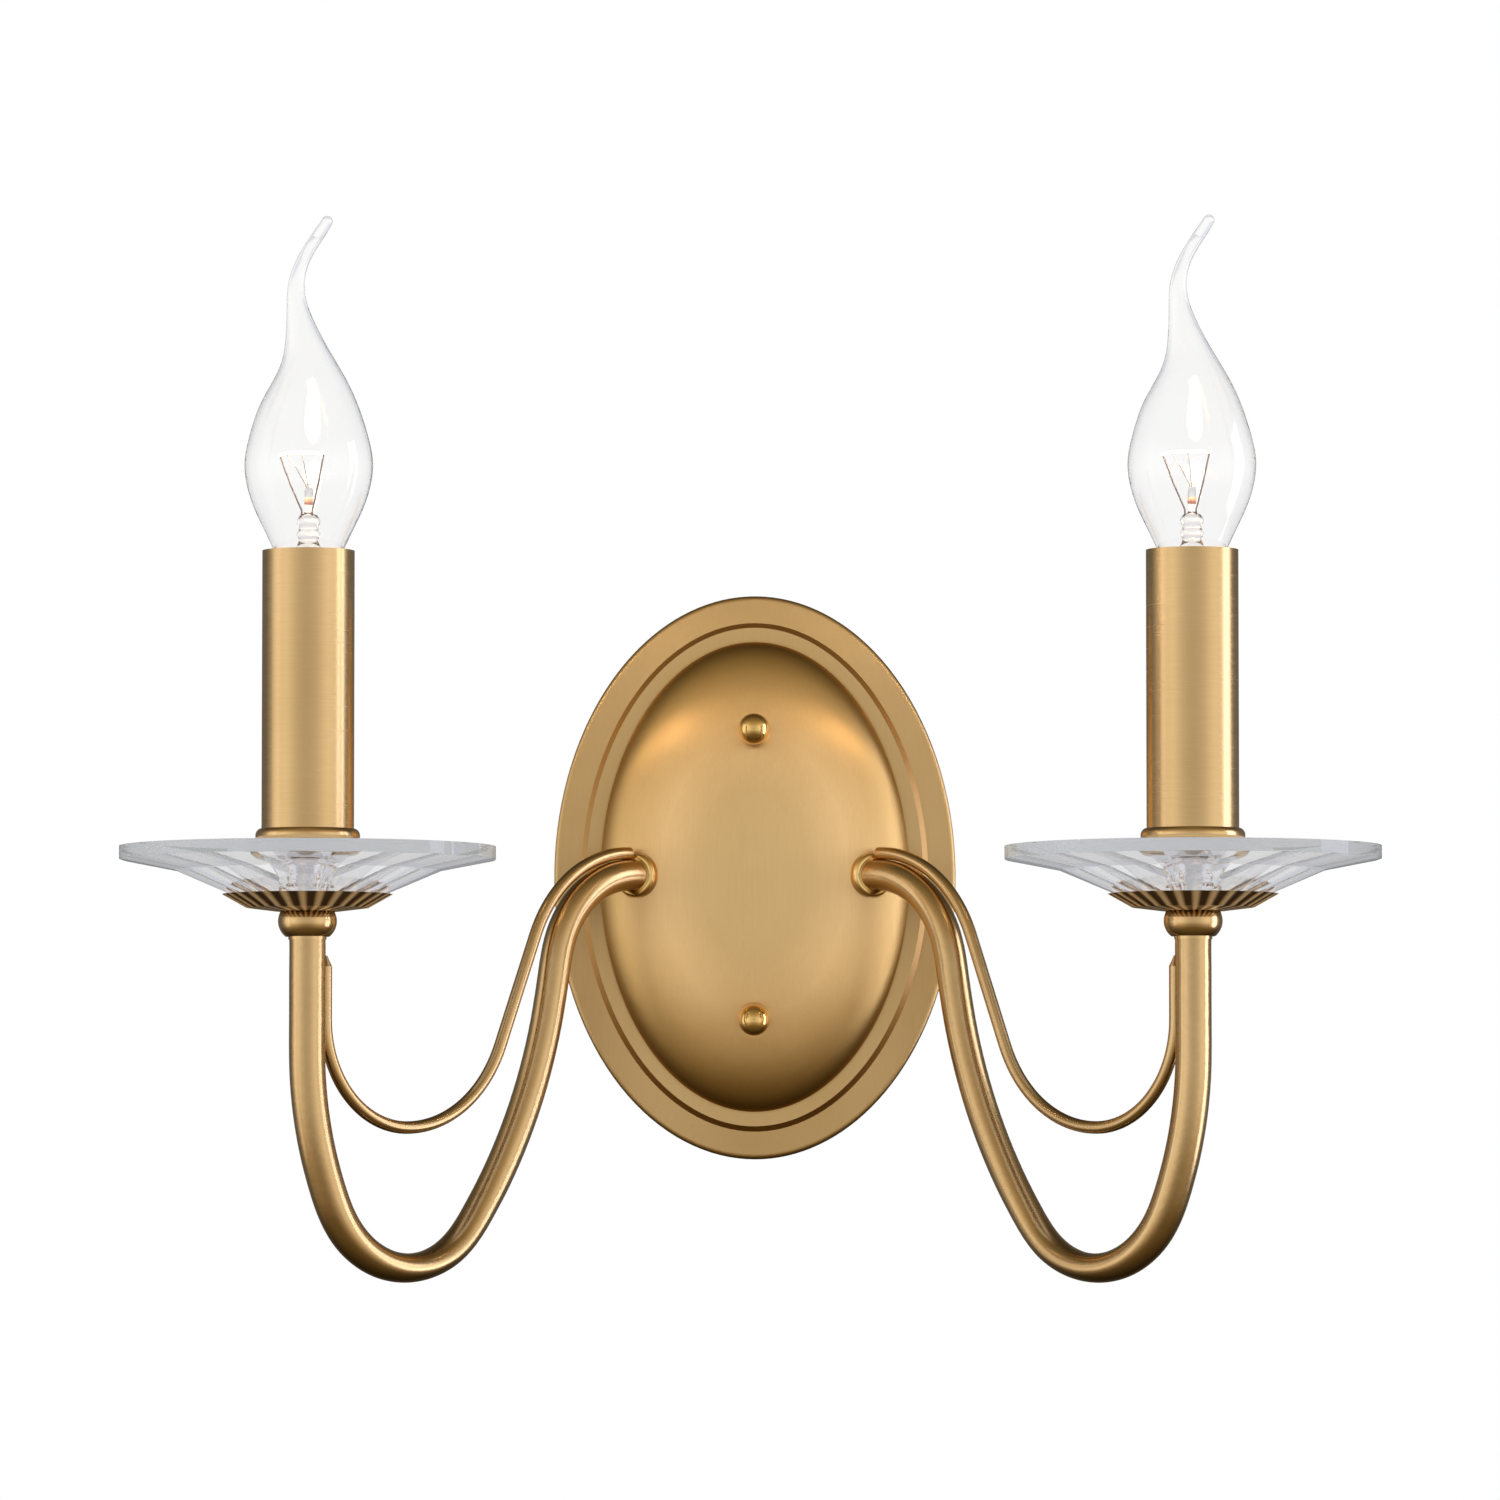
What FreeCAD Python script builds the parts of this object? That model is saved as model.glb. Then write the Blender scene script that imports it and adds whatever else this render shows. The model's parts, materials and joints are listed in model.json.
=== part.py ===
import FreeCAD, Part
import Sketcher
import math
import os
from types import SimpleNamespace

# A wall sconce with two candle arms, in millimetres.
# Z is up, the wall is the plane y = 0 and the front of the lamp faces -Y.
# The origin is the middle of the bracket's wall face, which is also the middle of the oval plate.
# Heights of the candle pieces are measured from that level, along each candle's own axis.

SIZES = {
    # oval backplate, pressed from sheet
    "plate_width": 114.0,
    "plate_height": 160.0,
    "sheet": 1.2,
    "rim_height": 6.0,
    "rim_corner": 1.4,
    "rim_band": 7.8,
    "step_width": 1.5,
    "step_height": 2.4,
    "inner_band": 4.5,
    "dome_edge_inset": 13.2,
    "dome_depth": 16.5,
    # seats coined into the dome for the arms and the fixing nuts
    "arm_seat_radius": 6.5,
    "arm_seat_depth": 0.55,
    "nut_seat_radius": 3.9,
    "nut_seat_depth": 0.9,
    "seat_web": 1.4,
    # wall bracket
    "bracket_width": 24.0,
    "bracket_height": 100.0,
    "bracket_sheet": 1.5,
    "bracket_flange": 5.4,
    "slot_spacing": 62.0,
    "slot_length": 10.0,
    "slot_width": 4.5,
    "cable_hole_radius": 4.0,
    "cable_hole_drop": 19.0,
    # fixing studs and ball nuts
    "stud_spacing": 82.0,
    "stud_radius": 2.0,
    "stud_reach": 5.5,
    "stud_nut_flats": 7.0,
    "stud_nut_height": 3.2,
    "nut_washer_radius": 3.4,
    "nut_washer_height": 0.8,
    "ball_nut_radius": 4.4,
    "ball_nut_neck": 3.0,
    "ball_nut_foot": 1.0,
    "ball_nut_depth": 6.2,
    # terminal block between the bracket's flanges
    "block_width": 14.0,
    "block_height": 26.0,
    "block_depth": 11.0,
    "block_pitch": 8.0,
    "clamp_screw_radius": 1.5,
    "clamp_screw_height": 1.2,
    "block_screw_radius": 1.3,
    "block_screw_head": 1.9,
    "earth_screw_radius": 2.0,
    "earth_screw_head": 3.6,
    "earth_screw_rise": 19.5,
    # where the arms leave the plate and where the candles stand
    "candle_spread": 241.0,
    "projection": 104.5,
    "ferrule_offset": 33.2,
    "ferrule_radius": 6.2,
    "ferrule_height": 2.6,
    "ferrule_floor": 0.8,
    "spigot_radius": 4.0,
    "spigot_length": 8.5,
    "spigot_bore": 2.6,
    "locknut_flats": 12.0,
    "locknut_height": 3.0,
    "lockwasher_height": 0.8,
    # arm tube: widths in the plane of the bend and across it
    "tube_top_width": 9.9,
    "tube_bend_width": 7.9,
    "tube_bend_spread": 10.1,
    "tube_rise_width": 8.9,
    "tube_wall": 1.05,
    "tube_top": -21.0,
    "lean_radius": 98.0,
    "lean_angle": 25.8,
    "rise_angle": 50.6,
    "sweep_radius": 147.0,
    "steep_angle": 78.8,
    "steep_run": 11.6,
    "root_radius": 29.2,
    "root_run": 1.8,
    # thin scroll rod above the arm
    "rod_radius": 1.75,
    "rod_tip": -28.2,
    "rod_point": 3.0,
    "rod_point_radius": 0.4,
    "rod_turn_radius": 29.2,
    "rod_steep_angle": 67.1,
    "rod_steep_run": 33.8,
    "rod_root_radius": 38.8,
    "rod_end_gap": 2.6,
    "braze": 0.1,
    # threaded nipple that holds each candle's stack together
    "nipple_radius": 4.0,
    "nipple_bore": 2.75,
    "nipple_below": 14.0,
    "nipple_above": 5.4,
    "fit": 0.05,
    # ball collar
    "collar_foot_radius": 5.2,
    "collar_foot_height": 0.8,
    "collar_bottom_radius": 6.0,
    "collar_top_radius": 7.3,
    "collar_height": 6.9,
    "collar_side_radius": 5.4,
    # fluted cup
    "cup_sheet": 1.2,
    "cup_foot_radius": 9.0,
    "cup_middle_radius": 16.7,
    "cup_middle_rise": 0.95,
    "cup_rim_radius": 23.4,
    "cup_rise": 4.7,
    "cup_lip": 1.6,
    "cup_flutes": 28,
    "flute_start_depth": 0.1,
    "flute_middle_depth": 1.3,
    "flute_rim_depth": 0.7,
    # crystal dish
    "dish_washer_radius": 8.3,
    "dish_washer_height": 1.25,
    "dish_hole": 5.0,
    "dish_base_radius": 16.0,
    "dish_floor": 4.2,
    "dish_floor_radius": 17.0,
    "dish_break_radius": 36.0,
    "dish_break_rise": 8.75,
    "dish_shoulder_radius": 38.0,
    "dish_shoulder_rise": 12.05,
    "dish_radius": 51.25,
    "dish_rim_rise": 12.0,
    "dish_rim_height": 3.25,
    "dish_rim_land": 1.4,
    "dish_facets": 16,
    # glass spindle
    "spindle_height": 12.0,
    "spindle_foot_radius": 7.4,
    "spindle_waist_radius": 6.2,
    "spindle_top_radius": 10.9,
    "spindle_bore": 4.4,
    "spindle_flutes": 12,
    # candle pan
    "pan_radius": 14.25,
    "pan_edge_radius": 13.1,
    "pan_floor": 1.2,
    "pan_height": 3.8,
    "pan_bead_radius": 2.0,
    "pan_spigot": 2.8,
    "pan_wall": 1.0,
    # candle sleeve
    "sleeve_radius": 12.6,
    "sleeve_wall": 0.8,
    "sleeve_length": 76.0,
    "sleeve_gap": 0.1,
    # lampholder
    "leg_width": 8.4,
    "leg_sheet": 1.0,
    "leg_height": 39.4,
    "leg_offset": 8.2,
    "leg_end": 6.5,
    "leg_wire_hole": 3.0,
    "holder_radius": 10.9,
    "holder_height": 34.0,
    "holder_floor": 3.0,
    "holder_bore": 7.7,
    "contact_radius": 2.5,
    "contact_height": 4.2,
    "thread_gap": 0.1,
    # lamp with a small screw cap and a bent flame tip
    "cap_radius": 6.85,
    "cap_sheet": 0.4,
    "cap_height": 22.0,
    "cap_insulator": 1.5,
    "foot_radius": 2.4,
    "foot_height": 1.3,
    "bulb_radius": 17.5,
    "bulb_length": 104.6,
    "bulb_neck": 5.6,
    "glass_wall": 0.8,
    "stem_radius": 3.2,
    "stem_height": 23.0,
    "exhaust_radius": 1.1,
    "exhaust_height": 8.0,
    "wire_radius": 0.3,
    "filament_rise": 16.0,
    "filament_spread": 8.0,
    # insulated leads
    "lead_radius": 0.9,
    "lead_spacing": 2.2,
    "lead_bend": 3.0,
    "lead_grip": 4.0,
    # eye of the earth lead
    "eye_radius": 4.4,
    "eye_sheet": 0.8,
}

doc = FreeCAD.newDocument("wall_sconce")
sheet = doc.addObject("Spreadsheet::Sheet", "sizes")
derived = doc.addObject("Spreadsheet::Sheet", "derived")
nodes = {}
V = FreeCAD.Vector
UP = V(0, 0, 1)
# how far apart the arm tube's cross-sections stand
STATION_STEP = 7.0
SIDES = {"left": -1, "right": 1}


# Sizes: a number together with the expression that gives it in the document


def number(item):
    return item.value if isinstance(item, Size) else float(item)


def words(item):
    return item.text if isinstance(item, Size) else "(%r)" % float(item)


class Size:
    def __init__(self, value, text):
        self.value = value
        self.text = text

    def __add__(self, other):
        return Size(self.value + number(other), "(%s + %s)" % (self.text, words(other)))

    def __radd__(self, other):
        return Size(number(other) + self.value, "(%s + %s)" % (words(other), self.text))

    def __sub__(self, other):
        return Size(self.value - number(other), "(%s - %s)" % (self.text, words(other)))

    def __rsub__(self, other):
        return Size(number(other) - self.value, "(%s - %s)" % (words(other), self.text))

    def __mul__(self, other):
        return Size(self.value * number(other), "(%s * %s)" % (self.text, words(other)))

    __rmul__ = __mul__

    def __truediv__(self, other):
        return Size(self.value / number(other), "(%s / %s)" % (self.text, words(other)))

    def __rtruediv__(self, other):
        return Size(number(other) / self.value, "(%s / %s)" % (words(other), self.text))

    def __neg__(self):
        return Size(-self.value, "(0 - %s)" % self.text)


def root(item):
    return Size(math.sqrt(max(number(item), 0.0)), "sqrt(%s)" % words(item))


def sine(angle):
    return Size(math.sin(math.radians(number(angle))), "sin(%s)" % words(angle))


def cosine(angle):
    return Size(math.cos(math.radians(number(angle))), "cos(%s)" % words(angle))


def tilt_of(rise, run):
    """Angle in degrees whose tangent is rise / run."""
    angle = math.degrees(math.atan2(number(rise), number(run)))
    return Size(angle, "(atan2(%s; %s) / 1deg)" % (words(rise), words(run)))


def write_sizes():
    for row, (alias, value) in enumerate(SIZES.items(), start=1):
        sheet.set("A%d" % row, alias)
        sheet.set("B%d" % row, str(value))
        sheet.setAlias("B%d" % row, alias)
    doc.recompute()
    return SimpleNamespace(
        **{alias: Size(float(sheet.get(alias)), "sizes." + alias) for alias in SIZES}
    )


def keep(alias, size):
    """Gives a worked-out size its own cell, and returns it under that name."""
    row = keep.rows = getattr(keep, "rows", 0) + 1
    derived.set("A%d" % row, alias)
    derived.set("B%d" % row, "=" + size.text)
    derived.setAlias("B%d" % row, alias)
    return Size(size.value, "derived." + alias)


# Sketches and features


def bind(item, target, size):
    if isinstance(size, Size):
        item.setExpression(target, size.text)


def plane_of(body, role):
    return next(f for f in body.Origin.OriginFeatures if f.Role == role)


def new_body(label):
    body = doc.addObject("PartDesign::Body", label)
    body.Label = label
    return body


def new_sketch(body, plane, offset=None):
    sketch = body.newObject("Sketcher::SketchObject", body.Label + "_sketch")
    sketch.AttachmentSupport = (plane_of(body, plane), [""])
    sketch.MapMode = "FlatFace"
    if offset is not None:
        sketch.AttachmentOffset = FreeCAD.Placement(V(0, 0, number(offset)), FreeCAD.Rotation())
        bind(sketch, "AttachmentOffset.Base.z", offset)
    return sketch


def edge_between(start, end, radius):
    """A line, or an arc that turns left for a positive radius and right for a negative one."""
    if not radius:
        return Part.LineSegment(start, end)
    chord = end - start
    left = V(-chord.y, chord.x, 0).normalize()
    reach = math.sqrt(max(radius**2 - (chord.Length / 2) ** 2, 0.0))
    centre = (start + end) * 0.5 + left * math.copysign(reach, radius)
    first, last = (start, end) if radius > 0 else (end, start)
    angles = [math.atan2(p.y - centre.y, p.x - centre.x) for p in (first, last)]
    return Part.ArcOfCircle(Part.Circle(centre, UP, abs(radius)), *angles)


def draw_points(sketch, points, closed=True):
    """Edges through the points; a third number on a point is the radius of the arc that ends there."""
    flat = [V(number(p[0]), number(p[1]), 0) for p in points]
    radii = [p[2] if len(p) > 2 else 0 for p in points]
    count = len(points)
    spans = [(i, (i + 1) % count) for i in range(count if closed else count - 1)]
    edges = [edge_between(flat[a], flat[b], number(radii[b])) for a, b in spans]
    first = sketch.GeometryCount
    sketch.addGeometry(edges, False)
    turned = [number(radii[b]) < 0 for a, b in spans]
    rules = []
    bound = []

    def rule(kind, *where, size):
        rules.append(Sketcher.Constraint(kind, *where, number(size)))
        bound.append((len(rules) - 1, size))

    for k, (a, b) in enumerate(spans):
        begin, finish = (2, 1) if turned[k] else (1, 2)
        rule("DistanceX", first + k, begin, size=points[a][0])
        rule("DistanceY", first + k, begin, size=points[a][1])
        if number(radii[b]):
            size = -radii[b] if turned[k] else radii[b]
            rule("Radius", first + k, size=size)
        if not closed and k == len(spans) - 1:
            rule("DistanceX", first + k, finish, size=points[b][0])
            rule("DistanceY", first + k, finish, size=points[b][1])
    for k in range(len(spans) if closed else len(spans) - 1):
        after = (k + 1) % len(spans)
        end = 1 if turned[k] else 2
        start = 2 if turned[after] else 1
        rules.append(Sketcher.Constraint("Coincident", first + k, end, first + after, start))
    base = sketch.ConstraintCount
    sketch.addConstraint(rules)
    for place, size in bound:
        bind(sketch, "Constraints[%d]" % (base + place), size)


def draw_circles(sketch, circles):
    for x, y, radius in circles:
        number_of = sketch.addGeometry(Part.Circle(V(number(x), number(y), 0), UP, number(radius)))
        base = sketch.ConstraintCount
        sketch.addConstraint(
            [
                Sketcher.Constraint("Radius", number_of, number(radius)),
                Sketcher.Constraint("DistanceX", number_of, 3, number(x)),
                Sketcher.Constraint("DistanceY", number_of, 3, number(y)),
            ]
        )
        for place, size in enumerate((radius, x, y)):
            bind(sketch, "Constraints[%d]" % (base + place), size)


def draw_polygon(sketch, sides, flats):
    """A regular polygon about the origin, given across its flats."""
    corner = flats / 2 / math.cos(math.pi / sides)
    turns = [360.0 * (k + 0.5) / sides for k in range(sides)]
    draw_points(sketch, [(corner * cosine(t), corner * sine(t)) for t in turns])


def revolve(body, points, feature="Revolution"):
    sketch = new_sketch(body, "XZ_Plane")
    draw_points(sketch, points)
    turned = body.newObject("PartDesign::" + feature, body.Label + "_turned")
    turned.Profile = sketch
    turned.ReferenceAxis = (sketch, ["V_Axis"])
    turned.Angle = 360
    return turned


def extrude(body, sketch, length, feature="Pad", both_ways=True, backwards=False):
    made = body.newObject("PartDesign::" + feature, body.Label + "_" + feature.lower())
    made.Profile = sketch
    made.Length = number(length)
    bind(made, "Length", length)
    made.Midplane = both_ways
    made.Reversed = backwards
    return made


def polar(body, feature, count):
    pattern = body.newObject("PartDesign::PolarPattern", body.Label + "_pattern")
    pattern.Originals = [feature]
    pattern.Axis = (feature.Profile[0], ["V_Axis"])
    pattern.Angle = 360
    pattern.Occurrences = int(number(count))
    bind(pattern, "Occurrences", count)
    body.Tip = pattern
    return pattern


def place(item, x=0.0, y=0.0, z=0.0, rotation=None):
    item.Placement = FreeCAD.Placement(
        V(number(x), number(y), number(z)), rotation or FreeCAD.Rotation()
    )
    for axis, size in (("x", x), ("y", y), ("z", z)):
        bind(item, "Placement.Base." + axis, size)
    return item


def cylinder(label, radius, height):
    item = doc.addObject("Part::Cylinder", label)
    item.Radius = number(radius)
    item.Height = number(height)
    bind(item, "Radius", radius)
    bind(item, "Height", height)
    return item


def join(kind, label, items):
    made = doc.addObject("Part::" + kind, label)
    if kind == "Cut":
        made.Base, made.Tool = items
    elif kind == "Compound":
        made.Links = items
    else:
        made.Shapes = items
    made.Label = label
    return made


def node(name, item):
    item.Label = name
    nodes[name] = item
    return item


dim = write_sizes()

# Places that several pieces share

half_spread = keep("half_spread", dim.candle_spread / 2)
band_height = keep("band_height", dim.rim_height + 0.1 * dim.rim_band + dim.step_height)
dome_base = keep("dome_base", band_height - dim.sheet)
dome_half_width = keep("dome_half_width", dim.plate_width / 2 - dim.dome_edge_inset)
dome_half_height = keep("dome_half_height", dim.plate_height / 2 - dim.dome_edge_inset)

# where the dome's skin is at the ferrules, and which way it faces there
ferrule_share = keep("ferrule_share", dim.ferrule_offset / dome_half_width)
ferrule_bulge = keep("ferrule_bulge", dim.dome_depth * root(1 - ferrule_share * ferrule_share))
ferrule_tilt = keep(
    "ferrule_tilt",
    tilt_of(
        dim.ferrule_offset / (dome_half_width * dome_half_width),
        ferrule_bulge / (dim.dome_depth * dim.dome_depth),
    ),
)
seat_x = keep("seat_x", dim.ferrule_offset - dim.arm_seat_depth * sine(ferrule_tilt))
seat_out = keep(
    "seat_out", dome_base + ferrule_bulge - dim.arm_seat_depth * cosine(ferrule_tilt)
)
socket_x = keep("socket_x", seat_x + dim.ferrule_floor * sine(ferrule_tilt))
socket_out = keep("socket_out", seat_out + dim.ferrule_floor * cosine(ferrule_tilt))

# the upright plane of each arm, from its candle to its socket in the plate
arm_run_x = keep("arm_run_x", half_spread - socket_x)
arm_run_y = keep("arm_run_y", dim.projection - socket_out)
arm_angle = keep("arm_angle", tilt_of(arm_run_y, arm_run_x))
reach = keep("reach", root(arm_run_x * arm_run_x + arm_run_y * arm_run_y))
socket_lean = keep("socket_lean", 90 - arm_angle - ferrule_tilt)

# the fixing studs and the flat seats of their nuts
stud_rise = keep("stud_rise", dim.stud_spacing / 2)
stud_share = keep("stud_share", stud_rise / dome_half_height)
nut_seat_out = keep(
    "nut_seat_out",
    dome_base + dim.dome_depth * root(1 - stud_share * stud_share) - dim.nut_seat_depth,
)

block_middle = keep("block_middle", dim.bracket_sheet + dim.block_depth / 2)

# levels up each candle's axis
collar_foot_top = keep("collar_foot_top", dim.tube_top + dim.collar_foot_height)
cup_bottom = keep("cup_bottom", collar_foot_top + dim.collar_height)
washer_bottom = keep("washer_bottom", cup_bottom + dim.cup_sheet)
dish_bottom = keep("dish_bottom", washer_bottom + dim.dish_washer_height)
spindle_bottom = keep("spindle_bottom", dish_bottom + dim.dish_floor)
pan_bottom = keep("pan_bottom", spindle_bottom + dim.spindle_height)
leg_bottom = keep("leg_bottom", pan_bottom + dim.pan_floor)
sleeve_bottom = keep("sleeve_bottom", pan_bottom + dim.pan_height)
holder_bottom = keep("holder_bottom", leg_bottom + dim.leg_height)
contact_bottom = keep("contact_bottom", holder_bottom + dim.holder_floor)
foot_bottom = keep("foot_bottom", contact_bottom + dim.contact_height)
cap_bottom = keep("cap_bottom", foot_bottom + dim.foot_height + dim.cap_insulator)
cap_top = keep("cap_top", cap_bottom + dim.cap_height)
glass_bottom = keep("glass_bottom", cap_top - dim.bulb_neck)
flame_height = keep("flame_height", dim.bulb_length - dim.bulb_neck)
sleeve_bore = keep("sleeve_bore", dim.sleeve_radius - dim.sleeve_wall)
nipple_hole = keep("nipple_hole", dim.nipple_radius + dim.fit)
shell_bore = keep("shell_bore", dim.cap_radius + dim.thread_gap)


def at_candle(item, side):
    return place(item, x=SIDES[side] * half_spread, y=-dim.projection)


def facing_out(degrees=0.0):
    """Turns a piece made along +Z so that it points out of the wall, swung sideways by some degrees."""
    return FreeCAD.Rotation(UP, degrees).multiply(FreeCAD.Rotation(V(1, 0, 0), 90))


def at_ferrule(item, side, out=0.0):
    """Puts a piece made along +Z on the axis of an arm's seat, some way out from the seat."""
    sign = SIDES[side]
    return place(
        item,
        x=sign * (seat_x + out * sine(ferrule_tilt)),
        y=-(seat_out + out * cosine(ferrule_tilt)),
        rotation=facing_out(sign * ferrule_tilt.value),
    )


# Backplate


def rim_profile():
    """Section of the pressed rim: the wall edge, the flat band, the step and the inner band."""
    edge = dim.plate_width / 2
    slope = 0.1
    corner = dim.rim_corner
    band_end = dim.rim_band + dim.step_width
    inner_end = band_end + dim.inner_band
    outer_top = dim.rim_height + slope * dim.rim_band
    skin = dim.sheet
    return [
        (edge, 0),
        (edge, corner - dim.rim_height),
        (edge - corner, -dim.rim_height, -corner),
        (edge - dim.rim_band, -outer_top),
        (edge - band_end, -band_height),
        (edge - inner_end, -band_height),
        (edge - inner_end, -dome_base),
        (edge - band_end - skin / 2, -dome_base),
        (edge - dim.rim_band - skin / 2, skin - outer_top),
        (edge - corner, skin - dim.rim_height),
        (edge - skin, corner - dim.rim_height, corner - skin),
        (edge - skin, 0),
    ]


def plate_rim():
    rim = new_body("plate_rim")
    spine = rim.newObject("Sketcher::SketchObject", "rim_line")
    spine.AttachmentSupport = (plane_of(rim, "XZ_Plane"), [""])
    spine.MapMode = "FlatFace"
    half_width = dim.plate_width / 2
    half_height = dim.plate_height / 2
    oval = Part.Ellipse(V(0, half_height.value, 0), V(half_width.value, 0, 0), V())
    spine.addGeometry(oval)
    spine.exposeInternalGeometry(0)
    base = spine.ConstraintCount
    spine.addConstraint(
        [
            Sketcher.Constraint("Coincident", 0, 3, -1, 1),
            Sketcher.Constraint("Vertical", 1),
            Sketcher.Constraint("Distance", 1, 2 * half_height.value),
            Sketcher.Constraint("Distance", 2, 2 * half_width.value),
        ]
    )
    bind(spine, "Constraints[%d]" % (base + 2), dim.plate_height)
    bind(spine, "Constraints[%d]" % (base + 3), dim.plate_width)
    section = new_sketch(rim, "XY_Plane")
    draw_points(section, rim_profile())
    pipe = rim.newObject("PartDesign::AdditivePipe", "rim_pipe")
    pipe.Profile = section
    pipe.Spine = (spine, ["Edge1"])
    pipe.Mode = "Frenet"
    return rim


def half_dome(label, skin):
    dome = doc.addObject("Part::Ellipsoid", label)
    radii = (dim.dome_depth - skin, dome_half_width - skin, dome_half_height - skin)
    for name, size in zip(("Radius1", "Radius2", "Radius3"), radii):
        setattr(dome, name, number(size))
        bind(dome, name, size)
    dome.Angle1 = 0
    dome.Angle2 = 90
    return place(dome, y=-dome_base, rotation=facing_out())


def seat_cylinders(label, grow, start, length, fixing_radius=None, arm_radius=None):
    """One cylinder on the axis of each of the four seats, from a distance out from each seat."""
    made = []
    for side in SIDES:
        radius = arm_radius if arm_radius is not None else dim.arm_seat_radius + grow
        made.append(at_ferrule(cylinder(label + "_" + side, radius, length), side, start))
    for name, sign in (("top", 1), ("bottom", -1)):
        radius = fixing_radius if fixing_radius is not None else dim.nut_seat_radius + grow
        tool = cylinder(label + "_" + name, radius, length)
        made.append(
            place(tool, y=-(nut_seat_out + start), z=sign * stud_rise, rotation=facing_out())
        )
    return join("MultiFuse", label, made)


def make_backplate():
    outer = half_dome("dome_outside", 0.0)
    skin = join("Cut", "dome_skin", [outer, half_dome("dome_inside", dim.sheet)])
    depth = dim.seat_web + 2 * dim.ball_nut_foot
    webs = seat_cylinders("seat_webs", dim.sheet, -dim.seat_web, depth)
    bosses = join("MultiCommon", "seat_bosses", [outer, webs])
    blank = join("MultiFuse", "plate_blank", [plate_rim(), skin, bosses])
    recess = seat_cylinders("seat_recesses", 0.0, 0.0, 2 * dim.ferrule_height)
    holes = seat_cylinders(
        "seat_holes",
        0.0,
        -2 * dim.seat_web,
        4 * dim.seat_web,
        fixing_radius=dim.stud_radius + 2 * dim.fit,
        arm_radius=dim.spigot_radius + 2 * dim.fit,
    )
    pressed = join("Cut", "plate_pressed", [blank, recess])
    node("backplate", join("Cut", "backplate", [pressed, holes]))


# Bracket, studs and nuts


def make_bracket():
    body = new_body("mounting_bracket")
    half = dim.bracket_width / 2
    skin = dim.bracket_sheet
    section = new_sketch(body, "XY_Plane")
    draw_points(
        section,
        [
            (-half, 0),
            (-half, -dim.bracket_flange),
            (skin - half, -dim.bracket_flange),
            (skin - half, -skin),
            (half - skin, -skin),
            (half - skin, -dim.bracket_flange),
            (half, -dim.bracket_flange),
            (half, 0),
        ],
    )
    extrude(body, section, dim.bracket_height)
    cut = new_sketch(body, "XZ_Plane")
    wide = dim.slot_width / 2
    straight = (dim.slot_length - dim.slot_width) / 2
    for sign in (1, -1):
        middle = sign * dim.slot_spacing / 2
        draw_points(
            cut,
            [
                (wide, middle - straight, wide),
                (wide, middle + straight),
                (0, middle + straight + wide, wide),
                (-wide, middle + straight, wide),
                (-wide, middle - straight),
                (0, middle - straight - wide, wide),
            ],
        )
    draw_circles(
        cut,
        [
            (0, stud_rise, dim.stud_radius + dim.fit),
            (0, -stud_rise, dim.stud_radius + dim.fit),
            (0, -dim.cable_hole_drop, dim.cable_hole_radius),
            (0, dim.earth_screw_rise, dim.earth_screw_radius + dim.fit),
            (0, dim.block_pitch / 2, dim.block_screw_radius + dim.fit),
        ],
    )
    extrude(body, cut, 4 * skin, "Pocket")
    node("mounting_bracket", body)


def stud_places(item, out):
    """The item and its twin, on the upper and the lower stud."""
    label = item.Label
    made = []
    for name, sign in (("upper", 1), ("lower", -1)):
        twin = doc.addObject("Part::Compound", label + "_" + name)
        twin.Links = [item]
        made.append(place(twin, y=-out, z=sign * stud_rise, rotation=facing_out()))
    return made


def stud_length():
    return nut_seat_out + dim.nut_washer_height + dim.stud_reach


def make_studs():
    body = new_body("stud")
    start = 0.2
    tip = 0.4
    end = stud_length()
    revolve(
        body,
        [
            (0, start),
            (dim.stud_radius, start),
            (dim.stud_radius, end - tip),
            (dim.stud_radius - tip, end),
            (0, end),
        ],
    )
    node("mounting_studs", join("Compound", "mounting_studs", stud_places(body, 0.0)))


def hex_nut(label, flats, height, hole):
    body = new_body(label)
    sketch = new_sketch(body, "XY_Plane")
    draw_polygon(sketch, 6, flats)
    draw_circles(sketch, [(0, 0, hole)])
    extrude(body, sketch, height, both_ways=False)
    return body


def make_stud_locknuts():
    nut = hex_nut(
        "stud_nut", dim.stud_nut_flats, dim.stud_nut_height, dim.stud_radius + dim.fit
    )
    pair = stud_places(nut, dim.bracket_sheet)
    node("stud_locknuts", join("Compound", "stud_locknuts", pair))


def make_ball_nuts():
    for name, sign in (("top", 1), ("bottom", -1)):
        washer = new_body("nut_washer_" + name)
        hole = dim.stud_radius + dim.fit
        high = dim.nut_washer_height
        revolve(
            washer,
            [
                (hole, 0),
                (dim.nut_washer_radius, 0),
                (dim.nut_washer_radius, high),
                (hole, high),
            ],
        )
        ball = new_body("ball_nut_" + name)
        neck = dim.ball_nut_neck
        centre = dim.ball_nut_foot + root(
            dim.ball_nut_radius * dim.ball_nut_radius - neck * neck
        )
        revolve(
            ball,
            [
                (hole, 0),
                (neck, 0),
                (neck, dim.ball_nut_foot),
                (dim.ball_nut_radius, centre, dim.ball_nut_radius),
                (0, centre + dim.ball_nut_radius, dim.ball_nut_radius),
                (0, dim.ball_nut_depth),
                (hole, dim.ball_nut_depth),
            ],
        )
        level = sign * stud_rise
        place(washer, y=-nut_seat_out, z=level, rotation=facing_out())
        place(ball, y=-(nut_seat_out + high), z=level, rotation=facing_out())
        node("nut_washer_" + name, washer)
        node("ball_nut_" + name, ball)


# Terminal block and its screws


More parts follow.
